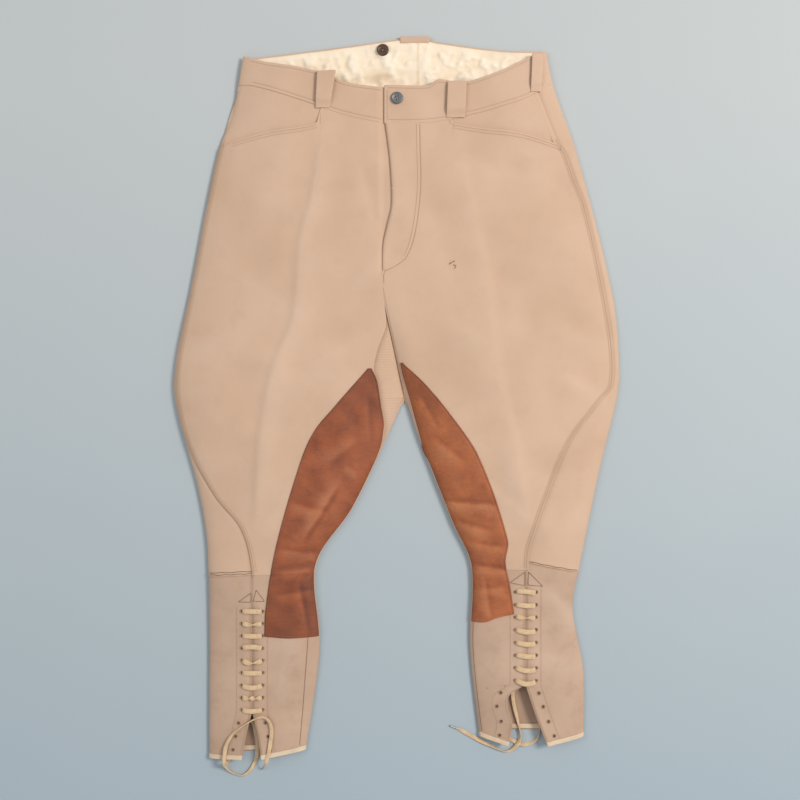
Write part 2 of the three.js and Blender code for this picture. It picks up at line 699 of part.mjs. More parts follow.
// Free lengths of the laces, as routes of [x, y, z] points, and whether an aglet ends them. The long tail of
// the right leg runs out over the hem, loops back up over the flaps and hangs over the hem again.
const laceTails = {
  right_lace_tail: {
    tipped: true,
    route: [[-206, -452, 7], [-201.5, -461, 6], [-199, -473, 4.6], [-197, -485, 3.8],
      [-197.5, -499, 3.5], [-198.5, -507, 2.2], [-201.5, -515.5, 1.5], [-208, -526.5, 1.5],
      [-218.5, -533.5, 1.5], [-229, -531, 1.5], [-237.5, -525.5, 2.6], [-241.2, -518.5, 7],
      [-242.2, -514.2, 13.4], [-242, -509, 17.3], [-241.5, -501, 17.2], [-240, -489, 16.8],
      [-235.5, -478, 17.1], [-229, -468.5, 17.6], [-218.5, -460, 18.1], [-208, -453.5, 18.3],
      [-197, -448.2, 18.4], [-187.5, -446.5, 18.4], [-181, -450, 18.4], [-177, -456.5, 18.4],
      [-175.5, -468, 18.3], [-177, -481, 18.2], [-179, -494, 18], [-181.8, -505, 18.3],
      [-183.8, -511.6, 16.8], [-185.8, -515.4, 13], [-187.6, -518.6, 9.1]],
  },
  right_lace_end: {
    tipped: false,
    route: [[-212.5, -456, 7.5], [-213.3, -460.5, 7], [-214.5, -465, 6.5], [-216, -470.5, 5.9],
      [-217.5, -476, 5.4], [-219.2, -480.5, 4.9], [-221, -485, 4.4], [-223.2, -489.5, 4],
      [-225.5, -494, 3.7], [-228, -498, 3.3], [-230.5, -502, 3], [-232.8, -505, 2.4], [-235, -508, 1.9],
      [-240, -513.5, 1.5], [-247, -519.5, 1.5]],
  },
  left_lace_tail: {
    tipped: true,
    route: [[163.7, -404, 7], [163, -417, 6], [164.4, -430, 5], [167.2, -442, 4.2], [169.8, -452, 3.8],
      [172.6, -464, 3.6], [174, -474.5, 3.8], [172.9, -482, 4.5], [170.2, -488, 4.7], [166.5, -493, 3.2],
      [160.5, -498, 1.6], [152, -499.5, 1.5], [141.5, -495, 1.5], [131.5, -490, 1.5], [121, -485.5, 1.5],
      [112, -481, 1.5], [102, -475.5, 1.5], [91.5, -469.5, 1.5], [83, -466, 1.5]],
  },
  left_lace_end: {
    tipped: false,
    route: [[187, -415, 8], [190.5, -422.5, 7.3], [193.5, -430, 6.6], [196.5, -438, 5.8], [199, -446, 5],
      [201.5, -459, 3.9], [201.2, -470, 2.8], [198.5, -479.5, 1.6], [191.5, -486, 1.5],
      [181.5, -489, 1.5], [173, -488, 1.5], [166, -485, 1.5], [161, -482.3, 1.5], [156.5, -480, 1.5],
      [149, -475.5, 1.5]],
  },
};

function addLaceTails() {
  const stepLength = 7;
  for (const [name, { tipped, route }] of Object.entries(laceTails)) {
    const places = route.map(([x, y, z]) => new THREE.Vector3(x, y, z));
    const curve = new THREE.CatmullRomCurve3(places, false, 'centripetal');
    add(name, cord(curve, Math.ceil(curve.getLength() / stepLength)), 'lace');
    if (!tipped) continue;
    const away = curve.getTangentAt(1);
    const aglet = new THREE.CylinderGeometry(agletRadius, agletRadius, agletLength, 8);
    aglet.applyQuaternion(new THREE.Quaternion().setFromUnitVectors(new THREE.Vector3(0, 1, 0), away));
    add(name.replace('tail', 'aglet'), aglet, 'pewter',
      curve.getPointAt(1).addScaledVector(away, agletLength / 2 + layerGap));
  }
}

addBackPanels();
addLining();
addFrontWaistband();
addFrontPanels();
addPocket('right', rightPocketMouth, rightBandSeam);
addPocket('left', leftPocketMouth, leftBandSeam);
addFly();
addButtons();
addBeltLoops();
for (const side of ['right', 'left']) {
  addThigh(side);
  addStrapping(side);
  addCalf(side);
  addLacing(side);
}
addLaceTails();

export default group;
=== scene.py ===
# Lace-up riding breeches lying on their back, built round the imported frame.
# Shapes are worked out in millimetres, in the frame's own axes: +X wearer's left, +Y waist, +Z up out of the front.
import bpy
import math
import numpy as np
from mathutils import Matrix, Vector


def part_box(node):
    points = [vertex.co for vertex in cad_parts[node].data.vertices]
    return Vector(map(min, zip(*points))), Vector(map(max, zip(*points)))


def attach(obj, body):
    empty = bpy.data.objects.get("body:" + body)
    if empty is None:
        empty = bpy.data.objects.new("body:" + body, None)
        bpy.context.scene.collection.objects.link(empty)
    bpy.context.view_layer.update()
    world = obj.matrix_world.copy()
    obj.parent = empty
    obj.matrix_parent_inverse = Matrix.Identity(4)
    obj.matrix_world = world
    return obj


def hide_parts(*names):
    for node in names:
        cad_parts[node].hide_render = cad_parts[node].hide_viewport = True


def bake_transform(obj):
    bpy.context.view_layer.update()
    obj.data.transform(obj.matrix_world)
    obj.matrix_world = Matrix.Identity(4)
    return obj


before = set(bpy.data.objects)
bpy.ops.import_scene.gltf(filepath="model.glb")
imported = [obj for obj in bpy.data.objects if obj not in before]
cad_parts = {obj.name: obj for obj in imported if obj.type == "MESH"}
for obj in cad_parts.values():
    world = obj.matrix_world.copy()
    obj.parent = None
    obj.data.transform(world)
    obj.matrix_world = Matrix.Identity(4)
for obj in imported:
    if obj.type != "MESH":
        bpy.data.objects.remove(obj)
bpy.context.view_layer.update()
mm = 0.001
sides = ("right", "left")
outward = {"right": -1, "left": 1}

view = {"height": 1.572, "centre": (0.0042, -0.0024), "lens": 50}
light = {"key": 96, "keyPlace": (2.4, 0.8, 2.9), "keySize": 1.2, "fill": 17, "fillPlace": (-2.2, 0.4, 2.6), "sky": 0.55}


def addCamera():
    camera = bpy.data.objects.new("camera", bpy.data.cameras.new("camera"))
    camera.data.lens = view["lens"]
    camera.location = (*view["centre"], view["height"])
    bpy.context.scene.collection.objects.link(camera)
    bpy.context.scene.camera = camera


def addLight(name, place, size, power, colour):
    lamp = bpy.data.lights.new(name, "AREA")
    lamp.shape = "DISK"
    lamp.size = size
    lamp.energy = power
    lamp.color = colour
    holder = bpy.data.objects.new(name, lamp)
    holder.location = place
    holder.rotation_euler = (-Vector(place)).to_track_quat("-Z", "Y").to_euler()
    bpy.context.scene.collection.objects.link(holder)


addCamera()
addLight("key", light["keyPlace"], light["keySize"], light["key"], (1.0, 0.985, 0.96))
addLight("fill", light["fillPlace"], 2.0, light["fill"], (0.94, 0.97, 1.0))
world = bpy.data.worlds.new("studio")
world.use_nodes = True
world.node_tree.nodes["Background"].inputs["Color"].default_value = (0.86, 0.93, 1.0, 1)
world.node_tree.nodes["Background"].inputs["Strength"].default_value = light["sky"]
bpy.context.scene.world = world
bpy.context.scene.view_settings.view_transform = "Standard"
print("camera and light ready")


def smoothLine(points):
    # a cubic per span whose slope at each point is the rise over run between its two neighbours; level past the ends
    at, value = np.array(points, float).T
    before = np.maximum(np.arange(len(at)) - 1, 0)
    after = np.minimum(np.arange(len(at)) + 1, len(at) - 1)
    slope = (value[after] - value[before]) / (at[after] - at[before])

    def line(where):
        where = np.clip(np.asarray(where, float), at[0], at[-1])
        i = np.clip(np.searchsorted(at, where, side="right") - 1, 0, len(at) - 2)
        span = at[i + 1] - at[i]
        t = (where - at[i]) / span
        rise = (3 * t**2 - 2 * t**3) * (value[i + 1] - value[i])
        return value[i] + rise + (t**3 - 2 * t**2 + t) * span * slope[i] + (t**3 - t**2) * span * slope[i + 1]

    return line


def smoothStep(low, high, value):
    t = np.clip((value - low) / (high - low), 0, 1)
    return t * t * (3 - 2 * t)


def level(value):
    return lambda at: value + 0 * at


def shift(line, by):
    return lambda at: line(at) + by


def smoothRoute(points, count):
    # a curve through every point: Catmull-Rom spans, read at even steps of the point number
    points = np.array(points, float)
    ends = np.concatenate([[2 * points[0] - points[1]], points, [2 * points[-1] - points[-2]]])
    place = np.linspace(0, len(points) - 1 - 1e-9, count)
    i = place.astype(int)
    t = (place - i)[:, None]
    a, b, c, d = ends[i], ends[i + 1], ends[i + 2], ends[i + 3]
    return 0.5 * (2 * b + (c - a) * t + (2 * a - 5 * b + 4 * c - d) * t**2 + (3 * b - a - 3 * c + d) * t**3)


def evenSteps(points, step):
    # the same line again, with points about one step apart
    along = np.concatenate([[0], np.cumsum(np.linalg.norm(np.diff(points, axis=0), axis=1))])
    at = np.linspace(0, along[-1], max(2, int(round(along[-1] / step)) + 1))
    return np.stack([np.interp(at, along, points[:, k]) for k in range(points.shape[1])], axis=1)


def putMesh(name, verts, faces, uv, material):
    # verts in millimetres; faces all have the same number of corners; uv is one pair per vertex
    mesh = bpy.data.meshes.new(name)
    corners = faces.shape[1]
    mesh.vertices.add(len(verts))
    mesh.vertices.foreach_set("co", (verts * mm).astype(np.float32).ravel())
    mesh.loops.add(faces.size)
    mesh.loops.foreach_set("vertex_index", faces.astype(np.int32).ravel())
    mesh.polygons.add(len(faces))
    mesh.polygons.foreach_set("loop_start", np.arange(0, faces.size, corners, dtype=np.int32))
    mesh.polygons.foreach_set("use_smooth", np.ones(len(faces), bool))
    mesh.update(calc_edges=True)
    layer = mesh.uv_layers.new(name="ClothMap")
    layer.uv.foreach_set("vector", (uv[faces.ravel()] * mm).astype(np.float32).ravel())
    mesh.validate()
    mesh.materials.append(material)
    piece = bpy.data.objects.new(name, mesh)
    bpy.context.scene.collection.objects.link(piece)
    return piece


def gridFaces(rows, columns):
    first = (np.arange(rows - 1)[:, None] * columns + np.arange(columns - 1)[None, :]).ravel()
    return np.stack([first, first + 1, first + 1 + columns, first + columns], axis=1)


def pointNormals(verts, quads):
    corner = verts[quads]
    across = np.cross(corner[:, 2] - corner[:, 0], corner[:, 3] - corner[:, 1])
    normal = np.zeros_like(verts)
    for k in range(4):
        np.add.at(normal, quads[:, k], across)
    return normal / np.maximum(np.linalg.norm(normal, axis=1), 1e-12)[:, None]


def thicken(verts, quads, thickness, rings=3):
    # the sheet is repeated one thickness below, and the two are joined round every rim by a half circle
    normal = pointNormals(verts, quads)
    edges = np.concatenate([quads[:, [k, (k + 1) % 4]] for k in range(4)])
    code = edges.min(1) * len(verts) + edges.max(1)
    _, where, count = np.unique(code, return_inverse=True, return_counts=True)
    rim = edges[count[where] == 1]
    push = np.cross(verts[rim[:, 1]] - verts[rim[:, 0]], normal[rim[:, 0]])
    out = np.zeros_like(verts)
    np.add.at(out, rim[:, 0], push)
    np.add.at(out, rim[:, 1], push)
    ids = np.unique(rim)
    side = out[ids] / np.maximum(np.linalg.norm(out[ids], axis=1), 1e-12)[:, None]
    middle = verts[ids] - normal[ids] * thickness / 2
    turn = np.pi * np.arange(1, rings + 1) / (rings + 1)
    rounds = [middle + thickness / 2 * (math.cos(a) * normal[ids] + math.sin(a) * side) for a in turn]
    place = np.zeros(len(verts), int)
    place[ids] = np.arange(len(ids))
    total = len(verts)
    stages = [rim] + [2 * total + k * len(ids) + place[rim] for k in range(rings)] + [rim + total]
    strips = [np.stack([s[:, 1], s[:, 0], e[:, 0], e[:, 1]], axis=1) for s, e in zip(stages, stages[1:])]
    allVerts = np.concatenate([verts, verts - normal * thickness] + rounds)
    allQuads = np.concatenate([quads, quads[:, ::-1] + total] + strips)
    source = np.concatenate([np.arange(total), np.arange(total)] + [ids] * rings)
    return allVerts, allQuads, source


def surfaceArea(verts, quads):
    corner = verts[quads]
    return np.linalg.norm(np.cross(corner[:, 2] - corner[:, 0], corner[:, 3] - corner[:, 1]), axis=1).sum() / 2


def clothPiece(name, grid, uv, thickness, material, keep=None, flip=False):
    # a sheet on a grid of points, thickened downwards; keep says which quads stay
    rows, columns = grid.shape[:2]
    quads = gridFaces(rows, columns)
    if keep is not None:
        quads = quads[keep.ravel()]
    if flip:
        quads = quads[:, ::-1]
    used, quads = np.unique(quads, return_inverse=True)
    quads = quads.reshape(-1, 4)
    verts = grid.reshape(-1, 3)[used]
    flat = uv.reshape(-1, 2)[used]
    solid, faces, source = thicken(verts, quads, thickness)
    piece = putMesh(name, solid, faces, flat[source], material)
    extent = (np.ptp(flat, axis=0) * mm).tolist()
    area = min(surfaceArea(verts, quads) * mm * mm, extent[0] * extent[1])
    piece["cut"] = [extent[0], extent[1], area]
    return piece


def declareSheet(piece):
    width, length, area = piece["cut"]
    del piece["cut"]
    if min(width, length) < 0.0101:
        return  # tapes and other pieces under 10.1 mm across end here


def easedColumns(count, start, end):
    # shares from 0 to 1, crowded towards an end by its weight: 1 - cos at both, or a square at one
    t = np.linspace(0, 1, count)
    if start and end:
        return 0.1 * t + 0.9 * (1 - np.cos(np.pi * t)) / 2
    if start:
        return 0.1 * t + 0.9 * t**2
    if end:
        return 0.1 * t + 0.9 * (1 - (1 - t) ** 2)
    return t


def clothGrid(left, right, bottom, top, columns, rows):
    # point (u, v) is share u between the side lines and share v between the rims, settled together in passes
    u, v = np.meshgrid(columns, rows)
    y = (bottom(0 * u) + top(0 * u)) / 2 + 0 * u
    x = left(y) + (right(y) - left(y)) * u
    for _ in range(12):
        y = bottom(x) + (top(x) - bottom(x)) * v
        x = left(y) + (right(y) - left(y)) * u
    return x, y


outerEdge = {
    "right": smoothLine([(-512, -265), (-220, -267), (-130, -280), (0, -313.5), (60, -311), (150, -292), (350, -252),
                         (400, -232), (482, -217)]),
    "left": smoothLine([(-492, 263), (-385, 263), (-296, 248), (-240, 257), (-100, 286), (0, 310), (40, 313.5),
                        (140, 305), (350, 252), (440, 220), (488, 210)]),
}
innerEdge = {
    "right": smoothLine([(-512, -131), (-350, -109), (-250, -116), (-215, -106), (-155, -63), (-40, -8), (0, 9.5)]),
    "left": smoothLine([(-492, 118), (-350, 103), (-235, 104), (-175, 78), (-60, 33), (0, 12.5)]),
}
bandTop = {
    "right": smoothLine([(-217, 481), (-185, 471), (-132, 462), (-98, 453), (-73, 441), (-20, 434), (20, 434)]),
    "left": smoothLine([(-17, 437), (44, 437), (58, 445), (92, 441), (144, 457), (186, 478), (210, 488)]),
}
bandSeam = {
    "right": smoothLine([(-223, 443), (-202, 441), (-122, 416), (-73, 399), (-20, 388), (20, 388)]),
    "left": smoothLine([(-17, 387), (46, 388), (102, 399), (158, 415), (186, 426), (212, 443)]),
}
backTopRim = smoothLine([(-207, 478), (-73, 495), (-3, 505), (25, 508), (60, 501), (144, 490), (205, 488)])
centreBack = smoothLine([(0, 11), (200, 22), (400, 29), (512, 29)])
centreFront = smoothLine([(0, 11), (60, -2), (125, -16), (160, -22), (400, -22)])
flyFreeEdge = smoothLine([(178, -20), (215, -19), (243, -13), (271, -7), (327, -9), (362, -13), (390, -17)])
flySeam = smoothLine([(160, -22), (177, -20), (184, -6), (196, 9), (223, 20), (264, 27), (303, 30), (345, 29), (400, 28)])
pocketMouth = {
    "right": smoothLine([(-254, 349), (-236, 358), (-178, 373), (-135, 379), (-108, 385)]),
    "left": smoothLine([(77, 384), (116, 378), (172, 371), (214, 360), (254, 347)]),
}
pocketSeam = {"right": -109, "left": 76}
sideSeam = {
    "right": smoothLine([(-280, -202), (-238, -202), (-183, -216), (-137, -253), (-72, -290), (-30, -304), (30, -310),
                         (150, -289), (350, -249), (445, -219)]),
    "left": smoothLine([(-280, 181), (-226, 183), (-205, 186), (-142, 207), (-58, 242), (-2, 284), (19, 301), (80, 301),
                        (180, 284), (272, 263), (307, 249), (345, 235), (357, 226), (431, 196)]),
}
strapOuter = {
    "right": smoothLine([(-334, -185), (-296, -183), (-211, -169), (-84, -132), (-44, -113), (-14, -88), (41, -40)]),
    "left": smoothLine([(-314, 165), (-261, 157), (-229, 151), (-198, 154), (-81, 113), (-23, 74), (20, 38), (48, 8)]),
}
strapInner = {
    "right": smoothLine([(-90, -31), (-42, -19), (-10, -23), (26, -29), (41, -36)]),
    "left": smoothLine([(-60, 34), (-30, 26), (0, 18), (30, 9), (48, 5)]),
}
strapTop = {"right": 41, "left": 49}
strapBottom = {
    "right": smoothLine([(-186, -333), (-150, -335), (-109, -334)]),
    "left": smoothLine([(103, -313), (123, -313), (139, -307), (165, -301)]),
}
kneeY = {"right": -247, "left": -240}
kneeRim = {"right": lambda x: -247 + 0.053 * (x + 210), "left": lambda x: -230 - 0.2 * (x - 185)}
creaseLine = {
    "right": smoothLine([(-190, -197), (-58, -189), (12, -178), (68, -161), (110, -143), (187, -136), (222, -133),
                         (278, -118), (334, -109)]),
    "left": smoothLine([(-142, 175), (-44, 158), (26, 140), (96, 130), (166, 123), (236, 109), (306, 92), (383, 85)]),
}
slit = {
    "right": {"seam": -203, "open": -441, "laced": [-298 - 17.3 * i for i in range(9)], "free": [-455, -474, -493],
              "outerFree": smoothLine([(-512, -219), (-470, -211), (-441, -204)]),
              "innerFree": smoothLine([(-512, -189.5), (-480, -194), (-441, -202)]),
              "outerHem": smoothLine([(-265, -505.4), (-219, -505.4)]),
              "innerHem": smoothLine([(-190, -505), (-131, -494)]),
              "backHem": smoothLine([(-265, -500), (-131, -494)])},
    "left": {"seam": 180, "open": -403, "laced": [-271 - 17.7 * i for i in range(8)], "free": [-413, -432, -453, -473],
             "outerFree": smoothLine([(-492, 213), (-443, 194), (-403, 181)]),
             "innerFree": smoothLine([(-492, 155), (-471, 159), (-455, 161), (-430, 154.5), (-415, 158), (-403, 176)]),
             "outerHem": smoothLine([(212, -486), (263, -475)]),
             "innerHem": smoothLine([(118, -475), (155, -486)]),
             "backHem": smoothLine([(118, -467), (263, -467)])},
}

lie = {"foldHeight": 3.4, "foldRound": 6, "lift": 0.2, "waistCrown": 16, "seatCrown": 20, "kneeCrown": 15,
       "hemCrown": 12, "loopRoom": 2.0}
ripples = {"seed": 11, "waves": 30, "height": 0.42, "shortest": 50, "longest": 190}
crownAlong = smoothLine([(-512, lie["hemCrown"]), (-400, lie["hemCrown"] + 0.5), (-247, lie["kneeCrown"]),
                         (-80, lie["seatCrown"]), (260, lie["seatCrown"]), (400, lie["waistCrown"]),
                         (512, lie["waistCrown"])])


def fullness(share):
    # 0 at a fold, 1 over the flat middle: the square root of 1 - |2s - 1|^3.2
    return np.sqrt(np.clip(1 - np.abs(np.clip(2 * share - 1, -1, 1)) ** 3.2, 0, 1))


rng = np.random.default_rng(ripples["seed"])
waveTurn = rng.uniform(0, np.pi, ripples["waves"])
waveLength = np.exp(rng.uniform(np.log(ripples["shortest"]), np.log(ripples["longest"]), ripples["waves"]))
wavePhase = rng.uniform(0, 2 * np.pi, ripples["waves"])
waveHeight = ripples["height"] * (waveLength / ripples["longest"]) ** 0.8


def rippled(x, y):
    # the sum of plane waves h * sin(2 pi (x cos a + y sin a) / length + phase)
    total = 0 * x
    for a, long, phase, high in zip(waveTurn, waveLength, wavePhase, waveHeight):
        total = total + high * np.sin(2 * np.pi * (x * math.cos(a) + y * math.sin(a)) / long + phase)
    return total


# soft folds: from, to, width on the shaded side, width on the other, height
softFolds = [
    ((-250, 180), (-150, 120), 12, 26, 1.3), ((-300, 60), (-215, 95), 10, 22, 1.2), ((-70, 150), (-20, 200), 8, 20, 1.2),
    ((-95, 60), (-45, 90), 7, 14, 1.1), ((-150, 20), (-60, 45), 9, 20, 0.9), ((60, 120), (130, 60), 10, 24, 0.9),
    ((230, 30), (300, -10), 9, 16, 1.8), ((215, 100), (290, 70), 10, 22, 1.1), ((60, 330), (190, 300), 12, 30, 1.0),
    ((-240, 320), (-130, 270), 12, 30, 0.9), ((120, -120), (180, -170), 8, 16, 1.4), ((-190, -190), (-150, -130), 7, 15, 1.2),
    ((205, -270), (262, -320), 9, 18, 1.8), ((150, -345), (245, -380), 10, 20, 1.5), ((-195, -350), (-140, -330), 8, 20, 1.3),
    ((-170, -420), (-150, -350), 8, 16, 1.1), ((-255, -360), (-225, -300), 8, 16, 0.8), ((215, -200), (262, -150), 9, 20, 1.2),
    ((40, 250), (70, 160), 9, 22, 0.9), ((-60, 330), (-35, 230), 8, 14, 1.2),
]


def foldRelief(x, y):
    # each fold is a ridge: height * exp(-(d / width)^2) across it, faded out smoothly towards both ends
    total = 0 * x
    for (x0, y0), (x1, y1), near, far, high in softFolds:
        long = math.hypot(x1 - x0, y1 - y0)
        ux, uy = (x1 - x0) / long, (y1 - y0) / long
        along = ((x - x0) * ux + (y - y0) * uy) / long
        off = (x - x0) * uy - (y - y0) * ux
        width = np.where(off < 0, near, far)
        total = total + high * np.exp(-((off / width) ** 2)) * smoothStep(-0.25, 0.3, along) * smoothStep(1.25, 0.7, along)
    return total


def pressedCrease(side, x, y):
    # a pressed crease: a ridge that drops in 7 mm on its outer side and fades over 26 mm on its inner side
    off = (x - creaseLine[side](y)) * outward[side]
    steep, soft = (7, 26) if side == "right" else (10, 22)
    high = 3.0 if side == "right" else 1.7
    fade = smoothStep(-215, -120, y) * smoothStep(400, 280, y)
    return high * fade * np.where(off > 0, np.exp(-((off / steep) ** 2)), np.exp(-((off / soft) ** 2)))


def base(y):
    return lie["loopRoom"] * smoothStep(385, 430, y)


def middleLine(y):
    return np.where(y < 0, 11.0, centreFront(y))


def frontHeight(side, x, y):
    # the outside of the front: fold height + crown * fullness of one leg, or of the whole seat above the crotch
    inner = np.where(y < 0, innerEdge[side](y), centreFront(y))
    outer = outerEdge[side](y)
    overLeg = fullness((x - outer) / (inner - outer))
    overSeat = fullness((x - outerEdge["right"](y)) / (outerEdge["left"](y) - outerEdge["right"](y)))
    full = overLeg + (overSeat - overLeg) * smoothStep(0, 160, y)
    detail = rippled(x, y) + foldRelief(x, y) + pressedCrease(side, x, y)
    return lie["foldHeight"] + base(y) + crownAlong(y) * full + detail * np.clip(full, 0, 1) ** 1.5


def underHeight(side, x, y):
    # the underside lies flat and curls up to each fold over a quarter circle
    outerGap = np.abs(x - outerEdge[side](y))
    innerGap = np.where(y < 0, np.abs(x - innerEdge[side](y)), np.abs(x - centreBack(y)))
    curl = lambda gap: 1 - np.sqrt(1 - np.clip(1 - gap / lie["foldRound"], 0, 1) ** 2)
    rise = np.maximum(curl(outerGap), curl(innerGap) * smoothStep(40, 0, y))
    return lie["lift"] + base(y) + (lie["foldHeight"] - lie["lift"]) * rise


print("outlines ready")


def addNode(tree, kind, settings=None, inputs=None):
    # one node; inputs maps a socket's name or number to a value or to another node's output
    node = tree.nodes.new("ShaderNode" + kind)
    for key, value in (settings or {}).items():
        setattr(node, key, value)
    for key, value in (inputs or {}).items():
        if isinstance(value, bpy.types.NodeSocket):
            tree.links.new(value, node.inputs[key])
        else:
            node.inputs[key].default_value = value
    return node


def newGroup(name, inputs, outputs):
    tree = bpy.data.node_groups.new(name, "ShaderNodeTree")
    for socket, kind in inputs:
        tree.interface.new_socket(name=socket, in_out="INPUT", socket_type="NodeSocket" + kind)
    for socket, kind in outputs:
        tree.interface.new_socket(name=socket, in_out="OUTPUT", socket_type="NodeSocket" + kind)
    start = tree.nodes.new("NodeGroupInput")
    end = tree.nodes.new("NodeGroupOutput")
    return tree, start, end


def mathNode(tree, operation, first, second, third=None):
    inputs = {0: first, 1: second}
    if third is not None:
        inputs[2] = third
    return addNode(tree, "Math", {"operation": operation}, inputs).outputs[0]


def rampNode(tree, factor, low, high):
    # 0 below low, 1 above high, straight between
    return addNode(tree, "MapRange", {"clamp": True}, {"Value": factor, "From Min": low, "From Max": high}).outputs[0]


def makeTwillGroup():
    # diagonal ribs and, across them, single threads; the ribs waver with a little noise
    tree, start, end = newGroup("twillWeave", [("Vector", "Vector"), ("Ribs per metre", "Float"), ("Waver", "Float")],
                                [("Height", "Float"), ("Fibre", "Float")])
    ribs = addNode(tree, "TexWave", {"bands_direction": "DIAGONAL"}, {
        "Vector": start.outputs["Vector"], "Scale": start.outputs["Ribs per metre"], "Distortion": start.outputs["Waver"],
        "Detail": 2.0, "Detail Scale": 0.6})
    flipped = addNode(tree, "Mapping", None, {"Vector": start.outputs["Vector"], "Rotation": (0, 0, 1.25)})
    threads = addNode(tree, "TexWave", {"bands_direction": "X"}, {
        "Vector": flipped.outputs[0], "Scale": start.outputs["Ribs per metre"], "Distortion": start.outputs["Waver"]})
    fuzz = addNode(tree, "TexNoise", None, {"Vector": start.outputs["Vector"], "Scale": 2600.0, "Detail": 2.0})
    both = mathNode(tree, "MULTIPLY_ADD", threads.outputs["Fac"], 0.45, ribs.outputs["Fac"])
    tree.links.new(mathNode(tree, "MULTIPLY_ADD", fuzz.outputs["Fac"], 0.5, both), end.inputs["Height"])
    tree.links.new(fuzz.outputs["Fac"], end.inputs["Fibre"])
    return tree


def makeWearGroup():
    # slow patches of fading, mid-sized smudges, and rare small specks
    tree, start, end = newGroup("clothWear", [("Vector", "Vector"), ("Specks", "Float")],
                                [("Fading", "Float"), ("Smudge", "Float"), ("Speck", "Float")])
    slow = addNode(tree, "TexNoise", None, {"Vector": start.outputs["Vector"], "Scale": 7.0, "Detail": 5.0, "Roughness": 0.6})
    mid = addNode(tree, "TexNoise", None, {"Vector": start.outputs["Vector"], "Scale": 38.0, "Detail": 6.0, "Roughness": 0.62})
    dots = addNode(tree, "TexVoronoi", None, {"Vector": start.outputs["Vector"], "Scale": 34.0, "Randomness": 1.0})
    near = rampNode(tree, dots.outputs["Distance"], 0.05, 0.015)
    picked = addNode(tree, "TexWhiteNoise", {"noise_dimensions": "3D"}, {"Vector": dots.outputs["Position"]})
    chosen = mathNode(tree, "LESS_THAN", picked.outputs["Value"], start.outputs["Specks"])
    tree.links.new(rampNode(tree, slow.outputs["Fac"], 0.35, 0.66), end.inputs["Fading"])
    tree.links.new(rampNode(tree, mid.outputs["Fac"], 0.5, 0.72), end.inputs["Smudge"])
    tree.links.new(mathNode(tree, "MULTIPLY", near, chosen), end.inputs["Speck"])
    return tree


def makeGrainGroup():
    # leather grain: small pebbled cells, broken by fine wrinkles that run across the leg
    tree, start, end = newGroup("leatherGrain", [("Vector", "Vector"), ("Pebbles per metre", "Float")],
                                [("Height", "Float"), ("Crackle", "Float"), ("Mottle", "Float")])
    cells = addNode(tree, "TexVoronoi", None, {"Vector": start.outputs["Vector"], "Scale": start.outputs["Pebbles per metre"]})
    flat = addNode(tree, "Mapping", None, {"Vector": start.outputs["Vector"], "Scale": (0.35, 1.0, 1.0), "Rotation": (0, 0, 0.3)})
    wrinkle = addNode(tree, "TexNoise", None, {"Vector": flat.outputs[0], "Scale": 260.0, "Detail": 6.0, "Roughness": 0.7})
    crack = addNode(tree, "TexVoronoi", {"feature": "DISTANCE_TO_EDGE"}, {"Vector": flat.outputs[0], "Scale": 130.0})
    mottle = addNode(tree, "TexNoise", None, {"Vector": start.outputs["Vector"], "Scale": 42.0, "Detail": 8.0, "Roughness": 0.68})
    lines = rampNode(tree, crack.outputs["Distance"], 0.0, 0.12)
    rough = mathNode(tree, "MULTIPLY_ADD", wrinkle.outputs["Fac"], 0.9, lines)
    tree.links.new(mathNode(tree, "MULTIPLY_ADD", cells.outputs["Distance"], 0.35, rough), end.inputs["Height"])
    tree.links.new(wrinkle.outputs["Fac"], end.inputs["Crackle"])
    tree.links.new(mottle.outputs["Fac"], end.inputs["Mottle"])
    return tree


twillGroup = makeTwillGroup()
wearGroup = makeWearGroup()
grainGroup = makeGrainGroup()


def startMaterial(name, roughness, specular, sheen=0.0, sheenRoughness=0.5):
    material = bpy.data.materials.new(name)
    material.use_nodes = True
    tree = material.node_tree
    shader = tree.nodes["Principled BSDF"]
    shader.inputs["Roughness"].default_value = roughness
    shader.inputs["Specular IOR Level"].default_value = specular
    shader.inputs["Sheen Weight"].default_value = sheen
    shader.inputs["Sheen Roughness"].default_value = sheenRoughness
    return material, tree, shader


def mixColour(tree, factor, first, second):
    node = addNode(tree, "Mix", {"data_type": "RGBA"}, {0: factor})
    for socket, value in ((6, first), (7, second)):
        if isinstance(value, bpy.types.NodeSocket):
            tree.links.new(value, node.inputs[socket])
        else:
            node.inputs[socket].default_value = (*value, 1)
    return node.outputs[2]


def placeGroup(tree, group, vector, values):
    node = tree.nodes.new("ShaderNodeGroup")
    node.node_tree = group
    tree.links.new(vector, node.inputs["Vector"])
    for socket, value in values.items():
        node.inputs[socket].default_value = value
    return node


